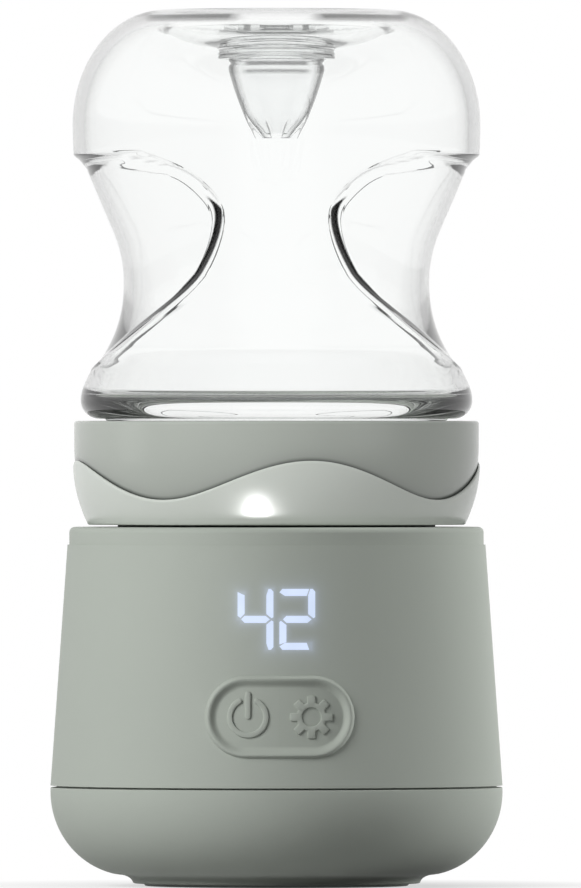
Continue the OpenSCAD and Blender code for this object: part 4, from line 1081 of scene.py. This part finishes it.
def pill(radius, half, arc_steps=48, run_steps=18):
    """A stadium outline, the same number of points for any radius."""
    right = np.radians(np.linspace(-90, 90, arc_steps))
    run = np.linspace(half, -half, run_steps)[1:-1]
    end = np.stack([half + radius * np.cos(right), radius * np.sin(right)], -1)
    return np.concatenate([end, np.stack([run, np.full(len(run), radius)], -1), -end,
                           np.stack([-run, np.full(len(run), -radius)], -1)])


def bead_shape(s):
    """The rounded bead round the keys, with a thin lip over their edge and a skirt into the housing."""
    overlap, crown, key_gap, lip_in, lip_gap = 0.06, 0.25, 0.02, 1.72, 0.01
    skirt_depth, skirt_in, skirt_out = 1.6, 1.7, 0.15
    rounded = (1 - np.cos(np.linspace(0, np.pi / 2, 9))) * crown
    t = np.concatenate([rounded, np.linspace(crown, 1, 22)[1:]])
    inset = (s.bead_width + overlap) * t - overlap
    climb = s.bead_rise * np.sin(np.pi / 2 * np.minimum(t, crown) / crown)
    slope = s.bead_rise - (s.bead_rise + s.key_sink - key_gap) * ease((t - crown) / (1 - crown))
    section = np.concatenate([
        np.stack([inset, np.where(t < crown, climb, slope)], -1),
        [(lip_in, lip_gap - s.key_sink), (skirt_in, -skirt_depth), (skirt_out, -skirt_depth)]])
    return grid(np.array([on_shell(*pill(s.bead_outer - d, s.pill_half).T, h, s) for d, h in section]))


def key_outline(side, s):
    """Outline of half of the keypad's face, its straight side along the middle."""
    under_bead, gap = 1.87, 0.003
    radius, half = s.bead_outer - under_bead, s.pill_half
    t = np.radians(np.linspace(90, -90, 49))
    run = np.linspace(gap, half, 12)[:-1]
    end = np.stack([half + radius * np.cos(t), radius * np.sin(t)], -1)
    middle = np.linspace(-radius, radius, 20)[1:-1]
    points = np.concatenate([np.stack([run, np.full(len(run), radius)], -1), end,
                             np.stack([run[::-1], np.full(len(run), -radius)], -1),
                             np.stack([np.full(len(middle), gap), middle], -1)])
    return points * (side, 1)


def key_plate(side, node, s):
    """Half of the keypad: a face that follows the housing, its sides, and a post to its switch."""
    side_depth, post_r, post_edge, post_front, post_steps = 0.9, 1.4, 0.2, -38.5, 32
    outline = key_outline(side, s)
    centre = np.array([side * s.symbol_pitch / 2, 0])
    shares = np.linspace(0, 1, 13)
    rows = [(share, -s.key_sink) for share in shares] + [(1.0, -s.key_sink - side_depth), (1.0, -s.key_depth)]
    rows += [(share, -s.key_depth) for share in shares[-2::-1]]
    face = np.array([on_shell(*(centre + (outline - centre) * share).T, rise, s) for share, rise in rows])
    x, back = s.keypad_x + centre[0], corner(node, 1, "y")
    t = np.linspace(0, 2 * np.pi, post_steps, endpoint=False)
    rings = [(0, post_front), (post_r, post_front), (post_r, back - post_edge), (post_r - post_edge, back),
             (0, back)]
    post = np.array([np.stack([x + r * np.cos(t), np.full(post_steps, y), s.keypad_z + r * np.sin(t)], -1)
                     for r, y in rings])
    return joined(grid(face, wrap_rows=False), grid(post, wrap_rows=False))


def symbol_levels(s):
    """Foot and top of the symbols, over the skin of the housing; the foot is sunk a little into the key."""
    bite = 0.08
    return -s.key_sink - bite, s.symbol_rise - s.key_sink


def rib(path, half_width, s):
    """A raised rib along a path on the key face, with round ends and soft edges."""
    bevel, shoulder = 0.16, 0.3
    side = left_of(np.gradient(path, axis=0))
    way = np.concatenate([[0], np.cumsum(np.linalg.norm(np.diff(path, axis=0), axis=1))])
    short = np.minimum(np.minimum(way, way[-1] - way), half_width) / half_width
    width = half_width * np.sqrt(np.maximum(1 - (1 - short) ** 2, 0))
    base, top = symbol_levels(s)
    flat = np.maximum(width - bevel, 0)
    lift = bevel * np.clip(short * 2, 0, 1)
    half = [(width, base), (width, top - lift), ((width + flat) / 2, top - lift * shoulder), (flat, top)]
    section = [(-share, rise) for share, rise in half] + half[::-1]
    return grid(np.array([on_shell(*(path + side * share[:, None]).T, rise, s) for share, rise in section]),
                wrap_columns=False)


def power_symbol(s):
    """A broken ring with a bar in its opening."""
    centre, ring_r, opening = -s.symbol_pitch / 2, 3.35, 20
    ring_half, bar_half = 0.52, 0.56
    ring = arc((centre, 0), (ring_r, ring_r), 90 + opening, 450 - opening, 97)
    bar_foot, bar_run, bar_head = (-0.35, 0.3), (0.6, 3.8), (4.1, 4.75)
    up = np.concatenate([np.linspace(*bar_foot, 9), np.linspace(*bar_run, 12), np.linspace(*bar_head, 9)])
    bar = np.stack([np.full(len(up), centre), up], -1)
    return joined(rib(ring, ring_half, s), rib(bar, bar_half, s))


def gear_symbol(s):
    """A gear of eight teeth with a hole."""
    teeth, body, tip, hole, half, soft, bevel = 8, 2.7, 3.95, 1.76, 0.74, 0.16, 0.15
    edge_in, edge_down = bevel * 0.35, bevel * 0.3
    root, start, step = math.sqrt(body ** 2 - half ** 2), math.asin(half / body), 2 * math.pi / teeth
    tooth = [(root, -half), (tip - soft, -half), (tip, soft - half), (tip, half - soft), (tip - soft, half),
             (root, half)]
    tooth += [(body * math.cos(t), body * math.sin(t)) for t in np.linspace(start, step - start, 6)[1:-1]]

    def turned_tooth(t):
        return np.array(tooth) @ np.array([[math.cos(t), math.sin(t)], [-math.sin(t), math.cos(t)]])
    outer = np.concatenate([turned_tooth(t) for t in np.arange(teeth) * step])
    before, after = left_of(outer - np.roll(outer, 1, 0)), left_of(np.roll(outer, -1, 0) - outer)
    inward = before + after
    inward /= np.maximum((inward * before).sum(1), 0.5)[:, None]
    turn = np.arctan2(outer[:, 1], outer[:, 0])
    inner = np.stack([np.cos(turn), np.sin(turn)], -1)
    base, top = symbol_levels(s)
    centre = np.array([s.symbol_pitch / 2, 0])
    rows = [(outer, base), (outer, top - bevel), (outer + inward * edge_in, top - edge_down),
            (outer + inward * bevel, top), (inner * (hole + bevel), top),
            (inner * (hole + edge_in), top - edge_down), (inner * hole, top - bevel), (inner * hole, base)]
    return grid(np.array([on_shell(*(loop + centre).T, rise, s) for loop, rise in rows]))


# Charging socket

def contact_tree():
    """Geometry Nodes for the contacts on one face of the charging tongue: a row of small plates."""
    tree, given, result = new_tree("Charging contacts", "Contacts", [
        ("Count", "Int"), ("Start", "Vector"), ("Pitch", "Vector"), ("Plate", "Vector"),
        ("Finish", "Material")])
    row, plate, place, whole, paint = (tree.nodes.new("GeometryNode" + kind) for kind in (
        "MeshLine", "MeshCube", "InstanceOnPoints", "RealizeInstances", "SetMaterial"))
    for start, end in ((given["Count"], row.inputs["Count"]), (given["Start"], row.inputs["Start Location"]),
                       (given["Pitch"], row.inputs["Offset"]), (given["Plate"], plate.inputs["Size"]),
                       (row.outputs["Mesh"], place.inputs["Points"]),
                       (plate.outputs["Mesh"], place.inputs["Instance"]),
                       (place.outputs["Instances"], whole.inputs["Geometry"]),
                       (whole.outputs["Geometry"], paint.inputs["Geometry"]),
                       (given["Finish"], paint.inputs["Material"]), (paint.outputs["Geometry"], result)):
        tree.links.new(start, end)
    return tree


# Operators

class WARMER_OT_finishes(Operator):
    """Makes the finishes and puts them on the CAD pieces that are kept"""
    bl_idname = "warmer.finishes"
    bl_label = "Finishes"

    def execute(self, context):
        colours = context.scene.warmer_colours
        make_finishes(colours)
        light_strokes(colours)
        light_halo(colours)
        for node in NODES.values():
            slot = node.material_slots[0].material.name
            node.material_slots[0].material = bpy.data.materials[SLOT_FINISH[slot]]
        NODES["upper_housing"].material_slots[0].material = bpy.data.materials["Sage moulding with halo"]
        return {"FINISHED"}


class WARMER_OT_bowl(Operator):
    """Makes the bowl under the parting line and the ringed pad under its foot"""
    bl_idname = "warmer.bowl"
    bl_label = "Bowl and foot"

    def execute(self, context):
        s = sizes(context.scene.warmer_base)
        bowl = make_piece("bowl", revolve(bowl_line(s), closed=False, steps=288), "Sage moulding", 40)
        settle(bowl, "base", "sage_plastic", "lower_housing")
        pad = make_piece("ringed_pad", revolve(pad_line(s), closed=False, steps=144), "Grey silicone", 60)
        settle(pad, "base", "grey_silicone", "foot_pad")
        return {"FINISHED"}


class WARMER_OT_adapter(Operator):
    """Makes the adapter ring and its waved skirt"""
    bl_idname = "warmer.adapter"
    bl_label = "Adapter"

    def execute(self, context):
        s = sizes(context.scene.warmer_adapter)
        # Painted shade on the band above the skirt
        shade_band(s)
        ring = make_piece("adapter_ring", adapter_shape(s), "Band gloss", 50)
        settle(ring, "adapter", "adapter_gloss", "adapter_body")
        bite = 0.05
        skirt = grown(
            "waved_skirt", skirt_tree(), 60, finish=bpy.data.materials["Skirt gloss"],
            foot=corner("adapter_skirt", 0, "z"), full_radius=corner("adapter_skirt", 1, "x"),
            fall=s.skirt_fall, full_height=s.skirt_full, lip=s.skirt_lip,
            band_radius=corner("adapter_body", 1, "x") - bite, band_fall=s.band_fall,
            band_full_height=s.band_full, waves=float(s.waves), wave_middle=s.wave_middle,
            wave_rise=s.wave_rise, wave_turn=s.wave_turn)
        settle(skirt, "adapter", "adapter_gloss", "adapter_skirt")
        return {"FINISHED"}


class WARMER_OT_bottle(Operator):
    """Makes the glass bottle with its two scooped grips"""
    bl_idname = "warmer.bottle"
    bl_label = "Bottle"

    def execute(self, context):
        shape, shade = bottle_shape(sizes(context.scene.warmer_bottle))
        bottle = make_piece("glass_bottle", shape, "Clear glass", shade=shade)
        bottle.visible_shadow = False
        settle(bottle, "bottle", "clear_glass", "bottle")
        return {"FINISHED"}


class WARMER_OT_valve(Operator):
    """Makes the vent valve in the dish of the bottle"""
    bl_idname = "warmer.valve"
    bl_label = "Valve"

    def execute(self, context):
        shape, shade = valve_shape(sizes(context.scene.warmer_bottle))
        valve = make_piece("four_lip_valve", shape, "Clear silicone", 50, shade)
        valve.visible_shadow = valve.visible_glossy = NODES["vent_cap"].visible_shadow = False
        settle(valve, "valve", "clear_silicone", "vent_valve")
        return {"FINISHED"}


class WARMER_OT_keypad(Operator):
    """Makes the keypad's bead and its two keys with their raised symbols"""
    bl_idname = "warmer.keypad"
    bl_label = "Keypad"

    def execute(self, context):
        s = sizes(context.scene.warmer_base)
        bead = make_piece("keypad_bead", bead_shape(s), "Key silicone", 70)
        settle(bead, "base", "key_silicone", "keypad_rim")
        keys = [("power_pad", "power_button", "power_key", -1, power_symbol),
                ("settings_pad", "settings_button", "settings_key", 1, gear_symbol)]
        for name, body, node, side, symbol in keys:
            pad = make_piece(name, joined(key_plate(side, node, s), symbol(s)), "Key silicone", 40)
            settle(pad, body, "key_silicone", node)
        return {"FINISHED"}


class WARMER_OT_contacts(Operator):
    """Makes the contacts on the charging tongue"""
    bl_idname = "warmer.contacts"
    bl_label = "Charging contacts"

    def execute(self, context):
        low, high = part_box("charging_tongue")
        contacts, plate = 12, (0.28 * MM, 4.5 * MM, 0.06 * MM)
        side_gap, front_gap = 0.6 * MM, 0.4 * MM
        pitch = (high.x - low.x - 2 * side_gap) / (contacts - 1)
        tree = contact_tree()
        for name, z in (("contacts_over", high.z), ("contacts_under", low.z)):
            start = (low.x + side_gap, high.y - front_gap - plate[1] / 2, z)
            row = grown(name, tree, 30, count=contacts, start=start, pitch=(pitch, 0, 0), plate=plate,
                        finish=bpy.data.materials["Turned steel"])
            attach(row, "base")
        return {"FINISHED"}


def lamp(name, place, aim, power, size, shape="SQUARE", height=None):
    """A soft lamp that no camera sees; places and sizes are in metres, its power in watts."""
    data = bpy.data.lights.new(name, "AREA")
    data.shape, data.size, data.energy = shape, size, power
    if height:
        data.size_y = height
    thing = in_scene(name, data)
    thing.location = place
    thing.rotation_euler = (Vector(aim) - Vector(place)).to_track_quat("-Z", "Y").to_euler()
    thing.visible_camera = thing.visible_transmission = False
    return thing


def around(azimuth, elevation, distance, middle):
    """A place round the object; azimuth 0 is the front and goes to the right, in degrees."""
    a, e = math.radians(azimuth), math.radians(elevation)
    level_distance = distance * math.cos(e)
    return (level_distance * math.sin(a), -level_distance * math.cos(a), middle + distance * math.sin(e))


def shown_rays(tree):
    """Fields that are 1 for a ray that shows a surface to the eye, and for one that came through glass."""
    path = tree.nodes.new("ShaderNodeLightPath")
    plain, mirrored, through_glass = (Field(tree, path.outputs[f"Is {kind} Ray"])
                                      for kind in ("Camera", "Glossy", "Transmission"))
    return (plain + mirrored + through_glass).do("MINIMUM", 1.0), through_glass


class WARMER_OT_stage(Operator):
    """Makes the floor, the lamps, the white surroundings and the camera"""
    bl_idname = "warmer.stage"
    bl_label = "Stage"

    def execute(self, context):
        s = context.scene.warmer_stage
        self.make_camera(context, s)
        self.make_lamps(s)
        self.make_world(context, s)
        self.make_floor()
        context.scene.view_settings.view_transform = "Standard"
        return {"FINISHED"}

    def make_camera(self, context, s):
        """A far camera at the height of the object's middle."""
        data = bpy.data.cameras.new("Camera")
        camera = in_scene("Camera", data)
        data.sensor_width = 36.0
        data.lens = data.sensor_width * s.distance / s.frame_height
        aim = Vector((s.aim_x, 0, s.aim_z))
        camera.location = aim + s.distance * Vector((0, -math.cos(s.look_down), math.sin(s.look_down)))
        camera.rotation_euler = (aim - camera.location).to_track_quat("-Z", "Y").to_euler()
        data.dof.use_dof = False
        context.scene.camera = camera

    def make_lamps(self, s):
        """Three soft lamps round the object, and two that show only as gloss on the adapter."""
        middle, reach = 0.07, 0.9
        aim = (0, 0, middle)
        power = (math.pi * reach) ** 2
        # Name, azimuth, elevation, level and size of each soft lamp
        soft_lamps = [("Key lamp", -51, 25, s.key_level, 0.5), ("Rim lamp", 100, 18, s.rim_level, 0.45),
                      ("Fill lamp", 55, 12, s.fill_level, 0.5)]
        key, rim, fill = [lamp(name, around(azimuth, elevation, reach, middle), aim, share * power, size)
                          for name, azimuth, elevation, share, size in soft_lamps]
        under_front, on_skirt = (-0.014, -0.0815, 0.0155), (-0.0035, -0.0361, 0.0689)
        glint = lamp("Low glint", under_front, on_skirt, power=0.026, size=0.0034, shape="ELLIPSE",
                     height=0.058)
        glint.data.spread = math.radians(50)
        skirt_height = 0.075
        strip_place = around(azimuth=-88, elevation=3, distance=0.5, middle=skirt_height)
        strip = lamp("Side strip", strip_place, (0, 0, skirt_height), power=0.15, size=0.16,
                     shape="RECTANGLE", height=0.5)
        glint.visible_diffuse = strip.visible_diffuse = False
        key.visible_glossy = rim.visible_glossy = fill.visible_glossy = False
        adapter = [thing for thing in bpy.data.objects if thing.name in ("adapter_ring", "waved_skirt")]
        others = [thing for thing in bpy.data.objects if thing.type == "MESH" and thing not in adapter]
        for source, served in ((rim, others), (fill, adapter), (glint, adapter), (strip, adapter)):
            group = bpy.data.collections.new(source.name + " serves")
            for thing in served:
                group.objects.link(thing)
            source.light_linking.receiver_collection = group

    def make_world(self, context, s):
        """White to the eye, greyer at the sides through glass, and a faint light on everything else."""
        world = bpy.data.worlds.new("White surroundings")
        context.scene.world = world
        world.use_nodes = True
        tree = world.node_tree
        back = tree.nodes["Background"]
        grey_start, grey_full, right_grey, left_grey = 0.3, 0.6, 0.38, 0.25
        shown, through_glass = shown_rays(tree)
        x = split(tree, tree.nodes.new("ShaderNodeTexCoord").outputs["Generated"])[0]
        right, left = x.share(grey_start, grey_full), x.share(-grey_start, -grey_full)
        grey = (right * right_grey + left * left_grey) * through_glass
        bright = shown * (grey * -1 + 1.0) + (shown * -1 + 1.0) * s.ambient
        back.inputs["Color"].default_value = (1, 1, 1, 1)
        bright.to(back.inputs["Strength"])

    def make_floor(self):
        """A pale floor that takes the object's shadow and turns to plain white further out."""
        half, just_below = 3.0, -0.00005
        shadow_start, shadow_end, least_white = 0.03, 0.075, 0.64
        bounced, pale = (0.55, 0.55, 0.55), (0.8, 0.8, 0.8)
        corners = [(-half, -half, 0), (half, -half, 0), (half, half, 0), (-half, half, 0)]
        mesh = bpy.data.meshes.new("floor")
        mesh.from_pydata(corners, [], [(0, 1, 2, 3)])
        floor = in_scene("floor", mesh)
        floor.location.z = just_below
        tree, shader = finish("Pale floor", pale, roughness=0.9, Specular_IOR_Level=0.1)
        x, y, _ = split(tree, coordinates(tree))
        far = (x * x + y * y).do("SQRT").share(shadow_start, shadow_end)
        white, mix = tree.nodes.new("ShaderNodeEmission"), tree.nodes.new("ShaderNodeMixShader")
        shown, _ = shown_rays(tree)
        ((far * (1 - least_white) + least_white) * shown).to(mix.inputs[0])
        tree.links.new(mixed(tree, shown, bounced, pale), shader.inputs["Base Color"])
        tree.links.new(shader.outputs[0], mix.inputs[1])
        tree.links.new(white.outputs[0], mix.inputs[2])
        tree.links.new(mix.outputs[0], tree.nodes["Material Output"].inputs["Surface"])
        mesh.materials.append(bpy.data.materials["Pale floor"])


class WARMER_PT_panel(Panel):
    """Sizes, colours and steps of the bottle warmer"""
    bl_label = "Bottle Warmer"
    bl_idname = "WARMER_PT_panel"
    bl_space_type = "VIEW_3D"
    bl_region_type = "UI"
    bl_category = "Bottle Warmer"

    def draw(self, context):
        for step in STEPS:
            self.layout.operator(step.bl_idname)
        for group in GROUPS:
            box = self.layout.box()
            settings = getattr(context.scene, group)
            for name in own_properties(settings):
                box.prop(settings, name)


GROUPS = {"warmer_bottle": BottleSizes, "warmer_adapter": AdapterSizes, "warmer_base": BaseSizes,
          "warmer_colours": Colours, "warmer_stage": StageSettings}
STEPS = [WARMER_OT_finishes, WARMER_OT_bowl, WARMER_OT_adapter, WARMER_OT_bottle, WARMER_OT_valve,
         WARMER_OT_keypad, WARMER_OT_contacts, WARMER_OT_stage]


def register():
    for cls in [*GROUPS.values(), *STEPS, WARMER_PT_panel]:
        bpy.utils.register_class(cls)
    for name, cls in GROUPS.items():
        setattr(bpy.types.Scene, name, PointerProperty(type=cls))


def unregister():
    for name in GROUPS:
        delattr(bpy.types.Scene, name)
    for cls in reversed([*GROUPS.values(), *STEPS, WARMER_PT_panel]):
        bpy.utils.unregister_class(cls)


def main():
    register()
    bpy.ops.warmer.finishes()
    bpy.ops.warmer.bowl()
    bpy.ops.warmer.adapter()
    bpy.ops.warmer.bottle()
    bpy.ops.warmer.valve()
    bpy.ops.warmer.keypad()
    bpy.ops.warmer.contacts()
    bpy.ops.warmer.stage()


if __name__ == "__main__":
    main()
